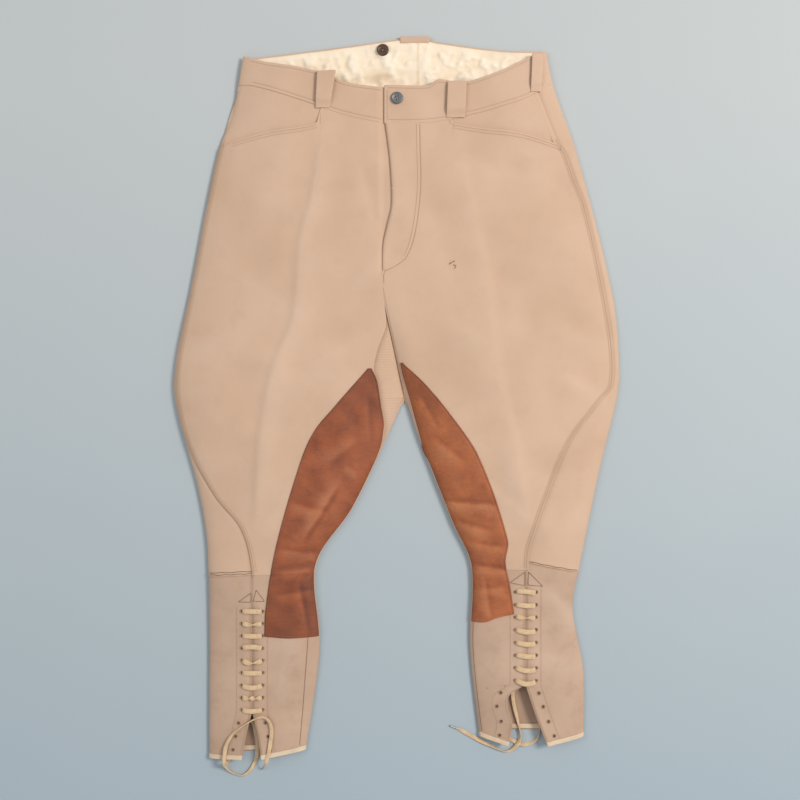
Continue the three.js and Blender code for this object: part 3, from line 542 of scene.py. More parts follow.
def clothMaterial(name, looks):
    # colour: cloth, faded towards pale in patches, lighter on ridges for rubbing and painted highlight, darkened by
    # painted shade in hollows, along seams and between the ribs, and darkened in smudges and specks
    material, tree, shader = startMaterial(name, looks["roughness"], 0.2, looks["sheen"])
    uv = addNode(tree, "UVMap", {"uv_map": "ClothMap"}).outputs[0]
    wear = placeGroup(tree, wearGroup, uv, {"Specks": looks["specks"]})
    weave = placeGroup(tree, twillGroup, uv, {"Ribs per metre": looks["ribs"], "Waver": 1.5})
    ridge = addNode(tree, "Attribute", {"attribute_name": "ridge"}).outputs["Fac"]
    colour = mixColour(tree, wear.outputs["Fading"], looks["deep"], looks["faded"])
    # painted highlight on raised folds and creases, partly real rubbing
    ridgeUp = mathNode(tree, "MULTIPLY", rampNode(tree, ridge, 0.5, 1.0), 0.45)
    # painted shade in hollows and along seam and lap lines
    ridgeDown = mathNode(tree, "MULTIPLY", rampNode(tree, ridge, 0.5, 0.0), 0.5)
    colour = mixColour(tree, ridgeUp, colour, looks["rubbedAndLit"])
    colour = mixColour(tree, ridgeDown, colour, looks["dirtAndShade"])
    colour = mixColour(tree, mathNode(tree, "MULTIPLY", wear.outputs["Smudge"], looks["smudge"]), colour, looks["dirtAndShade"])
    ribShade = mathNode(tree, "MULTIPLY", rampNode(tree, weave.outputs["Height"], 1.0, 0.2), looks["ribShade"])
    colour = mixColour(tree, ribShade, colour, looks["dirtAndShade"])
    colour = mixColour(tree, mathNode(tree, "MULTIPLY", wear.outputs["Speck"], 0.75), colour, (0.12, 0.05, 0.02))
    tree.links.new(colour, shader.inputs["Base Color"])
    bump = addNode(tree, "Bump", None, {"Strength": looks["bump"], "Distance": 0.0004, "Height": weave.outputs["Height"]})
    tree.links.new(bump.outputs[0], shader.inputs["Normal"])
    return material


def leatherMaterial(name, looks):
    # colour: dyed leather, mottled, worn pale on scuffs, lighter on raised folds for rubbing and painted highlight,
    # darker by painted shade in hollows and the knee join, dark in the grain and along the edges
    material, tree, shader = startMaterial(name, 0.5, 0.4)
    uv = addNode(tree, "UVMap", {"uv_map": "ClothMap"}).outputs[0]
    grain = placeGroup(tree, grainGroup, uv, {"Pebbles per metre": 950.0})
    wear = placeGroup(tree, wearGroup, uv, {"Specks": 0.35})
    ridge = addNode(tree, "Attribute", {"attribute_name": "ridge"}).outputs["Fac"]
    colour = mixColour(tree, rampNode(tree, grain.outputs["Mottle"], 0.36, 0.62), looks["deep"], looks["dyed"])
    colour = mixColour(tree, mathNode(tree, "MULTIPLY", wear.outputs["Fading"], 0.5), colour, looks["faded"])
    # painted highlight on raised folds, partly real rubbing
    colour = mixColour(tree, mathNode(tree, "MULTIPLY", rampNode(tree, ridge, 0.5, 1.0), 0.55), colour, looks["rubbedAndLit"])
    # painted shade in hollows and the knee join; also darker where makeLeather paints edges, the top and the right
    # lower leg
    colour = mixColour(tree, mathNode(tree, "MULTIPLY", rampNode(tree, ridge, 0.5, 0.0), 0.8), colour, looks["dirtAndShade"])
    cracks = rampNode(tree, grain.outputs["Height"], 0.95, 0.35)
    colour = mixColour(tree, mathNode(tree, "MULTIPLY", cracks, 0.2), colour, looks["dirtAndShade"])
    scuff = mathNode(tree, "MULTIPLY", rampNode(tree, grain.outputs["Crackle"], 0.62, 0.78), wear.outputs["Smudge"])
    colour = mixColour(tree, mathNode(tree, "MULTIPLY", scuff, 0.6), colour, looks["rubbedAndLit"])
    tree.links.new(colour, shader.inputs["Base Color"])
    tree.links.new(addNode(tree, "MapRange", None, {"Value": grain.outputs["Mottle"], "From Min": 0.3, "From Max": 0.7,
                                                    "To Min": 0.55, "To Max": 0.78}).outputs[0], shader.inputs["Roughness"])
    bump = addNode(tree, "Bump", None, {"Strength": 0.4, "Distance": 0.0004, "Height": grain.outputs["Height"]})
    tree.links.new(bump.outputs[0], shader.inputs["Normal"])
    return material


def threadMaterial(name, light, dark):
    # twisted thread: fine slanting bands of light and dark
    material, tree, shader = startMaterial(name, 0.8, 0.2, 0.2)
    place = addNode(tree, "TexCoord").outputs["Object"]
    twist = addNode(tree, "TexWave", {"bands_direction": "DIAGONAL"}, {"Vector": place, "Scale": 900.0, "Distortion": 3.0})
    tree.links.new(mixColour(tree, twist.outputs["Fac"], dark, light), shader.inputs["Base Color"])
    bump = addNode(tree, "Bump", None, {"Strength": 0.4, "Distance": 0.0002, "Height": twist.outputs["Fac"]})
    tree.links.new(bump.outputs[0], shader.inputs["Normal"])
    return material


def laceMaterial(name, light, dark):
    # a flat braid: herringbone made of two slanting waves that mirror each other across the middle
    material, tree, shader = startMaterial(name, 0.85, 0.2, 0.25)
    uv = addNode(tree, "UVMap", {"uv_map": "ClothMap"}).outputs[0]
    parts = addNode(tree, "SeparateXYZ", None, {0: uv})
    bent = mathNode(tree, "MULTIPLY_ADD", mathNode(tree, "ABSOLUTE", parts.outputs[0], 0.0), 0.9, parts.outputs[1])
    braid = mathNode(tree, "SINE", mathNode(tree, "MULTIPLY", bent, 7800.0), 0.0)
    soil = addNode(tree, "TexNoise", None, {"Vector": uv, "Scale": 90.0, "Detail": 4.0})
    shade = rampNode(tree, mathNode(tree, "MULTIPLY_ADD", soil.outputs["Fac"], 2.4, mathNode(tree, "MULTIPLY", braid, 0.5)), 0.5, 2.0)
    tree.links.new(mixColour(tree, shade, dark, light), shader.inputs["Base Color"])
    bump = addNode(tree, "Bump", None, {"Strength": 0.6, "Distance": 0.0003, "Height": braid})
    tree.links.new(bump.outputs[0], shader.inputs["Normal"])
    return material


def hardMaterial(name, light, dark, roughness, metallic, grainScale):
    # worn metal or horn: clouded colour and fine scratches
    material, tree, shader = startMaterial(name, roughness, 0.5)
    shader.inputs["Metallic"].default_value = metallic
    place = addNode(tree, "TexCoord").outputs["Object"]
    cloud = addNode(tree, "TexNoise", None, {"Vector": place, "Scale": grainScale, "Detail": 6.0, "Roughness": 0.7})
    tree.links.new(mixColour(tree, rampNode(tree, cloud.outputs["Fac"], 0.35, 0.65), dark, light), shader.inputs["Base Color"])
    bump = addNode(tree, "Bump", None, {"Strength": 0.25, "Distance": 0.0002, "Height": cloud.outputs["Fac"]})
    tree.links.new(bump.outputs[0], shader.inputs["Normal"])
    return material


# in each look, the lighter rubbing colour also paints highlight on raised folds, and the darkest colour is both dirt
# and painted shade in hollows, along seams and between the ribs
clothLooks = {
    "breeches_cloth": {"deep": (0.650, 0.423, 0.283), "faded": (0.705, 0.470, 0.325), "rubbedAndLit": (0.78, 0.56, 0.41),
                       "dirtAndShade": (0.38, 0.22, 0.13), "roughness": 0.9, "sheen": 0.15, "specks": 0.02, "ribs": 330.0,
                       "ribShade": 0.24, "smudge": 0.08, "bump": 0.5},
    # calf cloth: its own darker and dirtier cloth, with its colours also taken a little darker as painted shade of the
    # calf's folds
    "calf_cloth": {"deep": (0.545, 0.352, 0.240), "faded": (0.635, 0.425, 0.298), "rubbedAndLit": (0.73, 0.52, 0.39),
                   "dirtAndShade": (0.31, 0.18, 0.11), "roughness": 0.92, "sheen": 0.15, "specks": 0.16, "ribs": 300.0,
                   "ribShade": 0.28, "smudge": 0.22, "bump": 0.6},
    "cotton_lining": {"deep": (0.93, 0.74, 0.52), "faded": (0.98, 0.80, 0.62), "rubbedAndLit": (1.0, 0.90, 0.76),
                      "dirtAndShade": (0.52, 0.33, 0.17), "roughness": 0.88, "sheen": 0.15, "specks": 0.05, "ribs": 420.0,
                      "ribShade": 0.12, "smudge": 0.25, "bump": 0.3},
    "hem_tape": {"deep": (0.72, 0.52, 0.35), "faded": (0.86, 0.67, 0.48), "rubbedAndLit": (0.92, 0.8, 0.64),
                 "dirtAndShade": (0.45, 0.29, 0.17), "roughness": 0.9, "sheen": 0.15, "specks": 0.05, "ribs": 520.0,
                 "ribShade": 0.25, "smudge": 0.3, "bump": 0.4},
}
leatherLooks = {
    "right": {"deep": (0.205, 0.050, 0.018), "dyed": (0.345, 0.088, 0.030), "faded": (0.410, 0.118, 0.044),
              "rubbedAndLit": (0.53, 0.200, 0.092), "dirtAndShade": (0.100, 0.026, 0.011)},
    "left": {"deep": (0.270, 0.068, 0.023), "dyed": (0.425, 0.118, 0.038), "faded": (0.480, 0.150, 0.052),
             "rubbedAndLit": (0.60, 0.240, 0.105), "dirtAndShade": (0.130, 0.036, 0.014)},
}
finishes = {slot: clothMaterial(slot, looks) for slot, looks in clothLooks.items()}
leathers = {side: leatherMaterial("leather_" + side, leatherLooks[side]) for side in sides}
finishes["leather"] = leathers["right"]
finishes["lace_cotton"] = laceMaterial("lace_cotton", (0.98, 0.70, 0.42), (0.68, 0.44, 0.23))
finishes["aglet_metal"] = hardMaterial("aglet_metal", (0.62, 0.60, 0.56), (0.34, 0.32, 0.30), 0.38, 0.9, 500.0)
finishes["button_metal"] = hardMaterial("button_metal", (0.30, 0.29, 0.285), (0.14, 0.135, 0.13), 0.42, 0.75, 420.0)
finishes["button_horn"] = hardMaterial("button_horn", (0.145, 0.070, 0.035), (0.045, 0.022, 0.012), 0.28, 0.0, 320.0)
tanThread = threadMaterial("tan_thread", (0.60, 0.40, 0.27), (0.30, 0.17, 0.10))
# dark thread, also used to paint shade in the eyelet holes
darkThreadAndShade = threadMaterial("dark_thread_and_shade", (0.23, 0.115, 0.065), (0.09, 0.04, 0.022))
russetThread = threadMaterial("russet_thread", (0.46, 0.19, 0.09), (0.20, 0.07, 0.035))
paleThread = threadMaterial("pale_thread", (0.90, 0.78, 0.62), (0.55, 0.40, 0.27))
print("finishes ready")


def moveWithLeg(piece, side, joint):
    if joint == "hip":
        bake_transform(piece)
    else:
        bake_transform(piece)


def paintRidge(piece, values):
    # one number per vertex: over 0.5 where cloth stands up, for rubbing and painted highlight; under it for painted
    # shade in hollows and along seams and lapped edges, and for real stains where a piece paints them
    layer = piece.data.attributes.new("ridge", "FLOAT", "POINT")
    layer.data.foreach_set("value", np.clip(values, 0, 1).astype(np.float32))


def ridgeOf(side, piece, edgeLines=(), strength=0.22):
    flat = np.empty(len(piece.data.vertices) * 3)
    piece.data.vertices.foreach_get("co", flat)
    x, y = flat.reshape(-1, 3)[:, 0] / mm, flat.reshape(-1, 3)[:, 1] / mm
    # raised folds, creases and ripples lighter for rubbing and painted highlight, hollows darker as painted shade; each
    # edge line subtracts a band of painted shade along a seam, lip or lapped edge
    paint = 0.5 + strength * (foldRelief(x, y) + 0.6 * pressedCrease(side, x, y) + 0.2 * rippled(x, y)) * 0.7
    for line, width, depth in edgeLines:
        paint = paint - depth * np.exp(-(((x - line(y)) / width) ** 2))
    paintRidge(piece, paint)


def finishCloth(name, material, grid, uv, thickness, nodes, keep=None, flip=False):
    piece = clothPiece(name, grid, uv, thickness, material, keep, flip)
    if nodes:
        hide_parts(*nodes)
    declareSheet(piece)
    return piece


# stitches: a capsule laid along a line, repeated; ring k has radius r * (0.45, 1, 1, 0.45)
def stitchRow(line, pitch, long, radius, normal=(0, 0, 1)):
    along = np.concatenate([[0], np.cumsum(np.linalg.norm(np.diff(line, axis=0), axis=1))])
    starts = np.arange(0, max(along[-1] - long, 0.01), pitch)
    read = lambda at: np.stack([np.interp(at, along, line[:, k]) for k in range(3)], axis=1)
    return capsules(read(starts), read(starts + long), radius, normal)


def capsules(first, last, radius, normal=(0, 0, 1)):
    ahead = (last - first) / np.maximum(np.linalg.norm(last - first, axis=1), 1e-9)[:, None]
    side = np.cross(ahead, np.array(normal, float))
    side /= np.maximum(np.linalg.norm(side, axis=1), 1e-9)[:, None]
    up = np.cross(side, ahead)
    share = np.array([0.0, 0.2, 0.8, 1.0])
    size = np.array([0.45, 1.0, 1.0, 0.45]) * radius
    sink = np.array([-0.7, 0.25, 0.25, -0.7]) * radius
    turn = 2 * np.pi * np.arange(5) / 5
    middle = first[:, None] + (last - first)[:, None] * share[None, :, None] + up[:, None] * sink[None, :, None]
    ring = (side[:, None, None] * np.cos(turn)[None, None, :, None] + up[:, None, None] * np.sin(turn)[None, None, :, None])
    verts = middle[:, :, None] + ring * size[None, :, None, None]
    return verts.reshape(-1, 4 * 5, 3)


def capsuleFaces():
    k = np.arange(5)
    after = (k + 1) % 5
    tube = np.concatenate([np.stack([r * 5 + k, r * 5 + after, (r + 1) * 5 + after, (r + 1) * 5 + k], axis=1) for r in range(3)])
    ends = np.array([[0, 4, 3, 3], [0, 3, 2, 2], [0, 2, 1, 1], [15, 16, 17, 17], [15, 17, 18, 18], [15, 18, 19, 19]])
    return tube, ends[:, :3]


def putStitches(name, rows, material):
    blocks = np.concatenate(rows)
    tube, caps = capsuleFaces()
    verts = blocks.reshape(-1, 3)
    first = 20 * np.arange(len(blocks))[:, None, None]
    faces = [*(tube[None] + first).reshape(-1, 4).tolist(), *(caps[None] + first).reshape(-1, 3).tolist()]
    mesh = bpy.data.meshes.new(name)
    mesh.from_pydata((verts * mm).tolist(), [], faces)
    mesh.polygons.foreach_set("use_smooth", np.ones(len(faces), bool))
    mesh.materials.append(material)
    piece = bpy.data.objects.new(name, mesh)
    bpy.context.scene.collection.objects.link(piece)
    return piece


def lineOn(heightAt, x, y, lift=0.25):
    # a line of points lying on a surface
    x, y = np.broadcast_arrays(np.asarray(x, float), np.asarray(y, float))
    return np.stack([x, y, heightAt(x, y) + lift], axis=1)


# the laces come first: their routes repeat the frame's own, in metres
lace = {"width": 0.0055, "thick": 0.0017, "aglet": 0.0030}
laceRoutes = {
    "right_lace_tail": [
        (-.206, -.452, .007), (-.2015, -.461, .006), (-.199, -.473, .0046), (-.197, -.485, .0038), (-.1975, -.499, .0035),
        (-.1985, -.507, .0022), (-.2015, -.5155, .0015), (-.208, -.5265, .0015), (-.2185, -.5335, .0015),
        (-.229, -.531, .0015), (-.2375, -.5255, .0026), (-.2412, -.5185, .007), (-.2422, -.5142, .0134),
        (-.242, -.509, .0173), (-.2415, -.501, .0172), (-.24, -.489, .0168), (-.2355, -.478, .0171),
        (-.229, -.4685, .0176), (-.2185, -.46, .0181), (-.208, -.4535, .0183), (-.197, -.4482, .0184),
        (-.1875, -.4465, .0184), (-.181, -.45, .0184), (-.177, -.4565, .0184), (-.1755, -.468, .0183),
        (-.177, -.481, .0182), (-.179, -.494, .018), (-.1818, -.505, .0183), (-.1838, -.5116, .0168),
        (-.1858, -.5154, .013), (-.1876, -.5186, .0091)],
    "right_lace_end": [
        (-.2125, -.456, .0075), (-.2133, -.4605, .007), (-.2145, -.465, .0065), (-.216, -.4705, .0059),
        (-.2175, -.476, .0054), (-.2192, -.4805, .0049), (-.221, -.485, .0044), (-.2232, -.4895, .004),
        (-.2255, -.494, .0037), (-.228, -.498, .0033), (-.2305, -.502, .003), (-.2328, -.505, .0024),
        (-.235, -.508, .0019), (-.24, -.5135, .0015), (-.247, -.5195, .0015)],
    "left_lace_tail": [
        (.1637, -.404, .007), (.163, -.417, .006), (.1644, -.43, .005), (.1672, -.442, .0042), (.1698, -.452, .0038),
        (.1726, -.464, .0036), (.174, -.4745, .0038), (.1729, -.482, .0045), (.1702, -.488, .0047), (.1665, -.493, .0032),
        (.1605, -.498, .0016), (.152, -.4995, .0015), (.1415, -.495, .0015), (.1315, -.49, .0015), (.121, -.4855, .0015),
        (.112, -.481, .0015), (.102, -.4755, .0015), (.0915, -.4695, .0015), (.083, -.466, .0015)],
    "left_lace_end": [
        (.187, -.415, .008), (.1905, -.4225, .0073), (.1935, -.43, .0066), (.1965, -.438, .0058), (.199, -.446, .005),
        (.2015, -.459, .0039), (.2012, -.47, .0028), (.1985, -.4795, .0016), (.1915, -.486, .0015), (.1815, -.489, .0015),
        (.173, -.488, .0015), (.166, -.485, .0015), (.161, -.4823, .0015), (.1565, -.48, .0015), (.149, -.4755, .0015)],
}


def ribbon(points, width, thick, turns=0.0, step=1.6, tip=1.0):
    # an oval section, width by thick, carried along the line; it twists by a number of turns and shrinks at the tip
    line = evenSteps(points, step)
    ahead = np.gradient(line, axis=0)
    ahead /= np.linalg.norm(ahead, axis=1)[:, None]
    side = np.cross(ahead, (0, 0, 1.0))
    side /= np.maximum(np.linalg.norm(side, axis=1), 1e-6)[:, None]
    up = np.cross(side, ahead)
    share = np.linspace(0, 1, len(line))
    twist = turns * 2 * np.pi * smoothStep(0.1, 0.9, share)
    flatWay = side * np.cos(twist)[:, None] + up * np.sin(twist)[:, None]
    thinWay = -side * np.sin(twist)[:, None] + up * np.cos(twist)[:, None]
    angle = 2 * np.pi * np.arange(12) / 12
    across = np.sign(np.cos(angle)) * np.abs(np.cos(angle)) ** 0.8 * width / 2
    over = np.sin(angle) * thick / 2
    shrink = (1 - (1 - tip) * smoothStep(0.93, 1.0, share))[:, None, None]
    verts = line[:, None] + shrink * (flatWay[:, None] * across[None, :, None] + thinWay[:, None] * over[None, :, None])
    verts[..., 2] = np.maximum(verts[..., 2], 0.06)
    along = np.concatenate([[0], np.cumsum(np.linalg.norm(np.diff(line, axis=0), axis=1))])
    uv = np.stack([np.broadcast_to(across, (len(line), 12)), np.broadcast_to(along[:, None], (len(line), 12))], axis=2)
    return line, verts, uv


def tubeMesh(name, verts, uv, material):
    # rings joined into a tube, with a fan closing each end
    count, around = verts.shape[:2]
    k = np.arange(around)
    first = (np.arange(count - 1)[:, None] * around)
    after = (k + 1) % around
    side = np.stack([first + k, first + after, first + around + after, first + around + k], axis=2).reshape(-1, 4)
    middle = np.concatenate([verts.reshape(-1, 3), verts[:1].mean(1), verts[-1:].mean(1)])
    total = count * around
    startFan = np.stack([after, k, np.full(around, total)], axis=1)
    endFan = np.stack([k, after, np.full(around, total + 1)], axis=1)
    endFan[:, :2] += (count - 1) * around
    mesh = bpy.data.meshes.new(name)
    faces = [*side[:, ::-1].tolist(), *startFan[:, ::-1].tolist(), *endFan[:, ::-1].tolist()]
    mesh.from_pydata((middle * mm).tolist(), [], faces)
    flat = np.concatenate([uv.reshape(-1, 2), uv[:1, 0], uv[-1:, 0]])
    index = np.empty(len(mesh.loops), dtype=np.int32)
    mesh.loops.foreach_get("vertex_index", index)
    layer = mesh.uv_layers.new(name="ClothMap")
    layer.uv.foreach_set("vector", (flat[index] * mm).astype(np.float32).ravel())
    mesh.polygons.foreach_set("use_smooth", np.ones(len(mesh.polygons), bool))
    mesh.materials.append(material)
    piece = bpy.data.objects.new(name, mesh)
    bpy.context.scene.collection.objects.link(piece)
    return piece


def makeAglet(side, tip, before):
    # a crimped tube: radius 1.15 mm, pinched twice, pulled in at the tip
    ahead = (tip - before) / np.linalg.norm(tip - before)
    share = np.linspace(0, 1, 25)
    line = before + (tip - before) * share[:, None] + 0 * ahead
    radius = 1.2 - 0.22 * np.exp(-((share - 0.3) / 0.05) ** 2) - 0.22 * np.exp(-((share - 0.62) / 0.05) ** 2)
    radius = radius * np.sqrt(np.clip(1 - np.clip((share - 0.82) / 0.2, 0, 1) ** 2, 0.05, 1))
    sideways = np.cross(ahead, (0, 0, 1.0))
    sideways /= np.linalg.norm(sideways)
    up = np.cross(sideways, ahead)
    angle = 2 * np.pi * np.arange(14) / 14
    verts = line[:, None] + radius[:, None, None] * (sideways * np.cos(angle)[:, None] + up * np.sin(angle)[:, None])[None]
    uv = np.zeros((*verts.shape[:2], 2))
    piece = tubeMesh(side + "_aglet_metal", verts, uv, finishes["aglet_metal"])
    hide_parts(side + "_lace_aglet")
    return piece


for side in sides:
    for part in ("lace_tail", "lace_end"):
        name = side + "_" + part
        route = np.array(laceRoutes[name]) / mm
        points = evenSteps(smoothRoute(route, 400), 1.5)
        bare = part == "lace_end"
        line, verts, uv = ribbon(points, lace["width"] / mm, lace["thick"] / mm, turns=0.5 if bare else 1.0,
                                 tip=0.6 if bare else 0.5)
        piece = tubeMesh(name + "_braid", verts, uv, finishes["lace_cotton"])
        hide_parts(name)
        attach(piece, side + "_calf")
        if not bare:
            low, high = np.array(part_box(side + "_lace_aglet"))
            last = points[-1]
            ahead = points[-1] - points[-3]
            ahead /= np.linalg.norm(ahead)
            aglet = makeAglet(side, last + ahead * 9.5, last - ahead * 1.5)
            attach(aglet, side + "_calf")
print("laces ready")

pocket = {"gape": 1.3, "tuckIn": 6, "reach": 24, "bagThick": 1.0}

# the upper cloth of each leg: a front panel, and a back panel that wraps round the outer fold
panel = {"thick": 1.6, "lap": 0.8, "tuck": 4.5, "frontColumns": 110, "stripColumns": 22, "underColumns": 46, "rows": 250}
gussetLine = smoothLine([(-75, -24.5), (-42, -18.5), (-10, -23), (26, -29), (41, -33), (70, -27), (101, -16), (130, -18),
                         (160, -22), (178, -19), (196, -6), (215, 3), (390, 3)])


def innerFront(side, y):
    # the front panel's inner edge: the inner fold below the crotch, then the fly seam, or the gap beside it
    if side == "right":
        return np.where(y < -75, innerEdge["right"](y), gussetLine(y))
    up = np.where(y < 160, centreFront(y), flySeam(y))
    return innerEdge["left"](y) + (up - innerEdge["left"](y)) * smoothStep(-10, 0, y)


def frontCloth(side, x, y):
    # the front's height, raised where it laps a seam, and lowered where the right front runs under the fly
    toSeam = np.abs(x - sideSeam[side](y))
    onCloth = smoothStep(3, -1, (strapOuter[side](y) - x) * outward[side])
    lap = panel["lap"] * onCloth * smoothStep(6, 1, toSeam)
    mouth = np.where((x - pocketSeam[side]) * outward[side] > 2, pocketMouth[side](x) - y, 99)
    z = frontHeight(side, x, y) + lap + pocket["gape"] * np.exp(-np.abs(mouth) / 7) * smoothStep(0, 25, toSeam)
    if side == "right":
        z = z - 2.7 * smoothStep(-27, -17, x) * smoothStep(168, 186, y)
    return z


def stripCloth(side, x, y):
    # the back panel's front strip: the front's height, sunk under the front panel's lap at the side seam
    toSeam = np.abs(x - sideSeam[side](y))
    return frontHeight(side, x, y) - 1.3 * smoothStep(7, 1, toSeam) + 0.8 * smoothStep(7, 1, y - kneeRim[side](x))


def topRim(side, x):
    # the band seam, dropping to the pocket mouth outside the pocket seam
    out = outward[side]
    beyond = smoothStep(out * pocketSeam[side] - 3, out * pocketSeam[side] + 3, out * x)
    return bandSeam[side](x) + 1 + (pocketMouth[side](x) - bandSeam[side](x) - 1) * beyond


def makeFront(side):
    seam = shift(sideSeam[side], outward[side] * 0.9)
    inner = lambda y: innerFront(side, y)
    left, right = (seam, inner) if side == "right" else (inner, seam)
    columns = easedColumns(panel["frontColumns"], side == "left", side == "right")
    x, y = clothGrid(left, right, level(kneeY[side]), lambda at: topRim(side, at), columns,
                     np.linspace(0, 1, panel["rows"]))
    grid = np.stack([x, y, frontCloth(side, x, y)], axis=2)
    piece = finishCloth(side + "_front_cloth", finishes["breeches_cloth"], grid, np.stack([x, y], axis=2),
                        panel["thick"], [side + "_front_panel_seat", side + "_front_panel_thigh"])
    # painted shade along the side seam where the front laps the strip
    ridgeOf(side, piece, [(sideSeam[side], 2.5, 0.3)])
    moveWithLeg(piece, side, "hip")


def backRim(side, x):
    fold = outerEdge[side](bandSeam[side](outward[side] * 500))
    start = bandSeam[side](outward[side] * 500)
    away = smoothStep(0, 45, np.abs(x - fold))
    return start + (backTopRim(x) - 44 - start) * away


def backInner(side, y):
    return innerEdge[side](y) + (centreBack(y) - innerEdge[side](y)) * smoothStep(-12, 0, y)


def wrapGrid(side, frontLine, underLine, bottom, frontTop, underBottom, underTop, columns, rows, height):
    # columns run from a line on the front to the outer fold, round it, and on along the underside
    v = np.linspace(0, 1, rows)
    x1, y1 = clothGrid(frontLine, outerEdge[side], bottom, frontTop, easedColumns(columns[0], False, True), v)
    x2, y2 = clothGrid(outerEdge[side], underLine, underBottom, underTop, easedColumns(columns[1], True, False), v)
    front = np.stack([x1, y1, height(x1, y1)], axis=2)
    under = np.stack([x2, y2, underHeight(side, x2, y2)], axis=2)
    uv = np.concatenate([np.stack([x1, y1], axis=2), np.stack([2 * outerEdge[side](y2) - x2, y2], axis=2)[:, 1:]], axis=1)
    return np.concatenate([front, under[:, 1:]], axis=1), uv


def makeBack(side):
    grid, uv = wrapGrid(side, shift(sideSeam[side], -outward[side] * panel["tuck"]), lambda y: backInner(side, y) + outward[side] * 0.4,
                        kneeRim[side], lambda x: bandSeam[side](x) + 1, level(float(kneeRim[side](outerEdge[side](kneeY[side])))),
                        lambda x: backRim(side, x),
                        (panel["stripColumns"], panel["underColumns"]), panel["rows"], lambda x, y: stripCloth(side, x, y))
    piece = finishCloth(side + "_back_cloth", finishes["breeches_cloth"], grid, uv, panel["thick"],
                        [side + "_back_panel_seat", side + "_back_panel_thigh"], flip=side == "right")
    # painted shade along the side seam, under the front's lap
    ridgeOf(side, piece, [(sideSeam[side], 3, 0.35)])
    moveWithLeg(piece, side, "hip")


for side in sides:
    makeFront(side)
    makeBack(side)

gusset = {"drop": 2.5, "ribs": 0.22, "ribPitch": 3.6}


def gussetHeight(x, y):
    # sunk under the front, with fine cross ribs: h * sin(2 pi y / pitch)
    return frontHeight("right", x, y) - gusset["drop"] + gusset["ribs"] * np.sin(2 * np.pi * y / gusset["ribPitch"])


def makeGusset():
    inner = lambda y: np.where(y < 0, innerEdge["right"](y) - 0.5, centreFront(y) + 3)
    x, y = clothGrid(shift(gussetLine, -5), inner, level(-70), level(126), easedColumns(26, False, False),
                     np.linspace(0, 1, 220))
    x = np.minimum(x, inner(y))
    grid = np.stack([x, y, np.maximum(gussetHeight(x, y), 2.0)], axis=2)
    piece = finishCloth("crotch_gusset_cloth", finishes["breeches_cloth"], grid, np.stack([x, y], axis=2),
                        1.2, [])
    # painted shade along the gusset's edge, under the right front
    ridgeOf("right", piece, [(gussetLine, 6, 0.4)])
    moveWithLeg(piece, "right", "hip")


makeGusset()
print("seat and thighs ready")

# the fly: a flap lying over the right front, its extension underneath, and the buttons that stay from the frame
fly = {"bottom": 179, "lap": 1.4, "rise": 0.45, "thick": 1.8, "extensionLeft": -12, "extensionRight": 27}


def flyHeight(x, y):
    # level with the left front, its free edge lifted a little and rolling down
    toEdge = np.abs(x - flyFreeEdge(y))
    return frontHeight("left", x, y) + fly["rise"] + 0.5 * np.exp(-((toEdge - 4) / 5) ** 2) - 0.7 * np.exp(-toEdge / 1.5)


x, y = clothGrid(flyFreeEdge, shift(flySeam, fly["lap"]), level(fly["bottom"]), lambda at: bandSeam["left"](at) + 1,
                 easedColumns(30, True, True), np.linspace(0, 1, 130))
flap = finishCloth("fly_flap_cloth", finishes["breeches_cloth"], np.stack([x, y, flyHeight(x, y)], axis=2),
                   np.stack([x, y], axis=2), fly["thick"], ["fly_flap"])
# painted shade along the flap's free edge, where it rolls down
ridgeOf("left", flap, [(flyFreeEdge, 2, 0.3)])
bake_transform(flap)
x, y = clothGrid(level(fly["extensionLeft"]), level(fly["extensionRight"]), level(206), level(386),
                 easedColumns(22, False, False), np.linspace(0, 1, 90))
extension = finishCloth("fly_extension_cloth", finishes["breeches_cloth"],
                        np.stack([x, y, frontHeight("right", x, y) - 4.6], axis=2), np.stack([x, y], axis=2), 1.4,
                        ["fly_extension"])
paintRidge(extension, np.full(len(extension.data.vertices), 0.45))
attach(extension, "seat")
for number in range(1, 5):
    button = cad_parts["fly_button_%d" % number]
    button.data.materials.clear()
    button.data.materials.append(finishes["button_horn"])
print("fly ready")

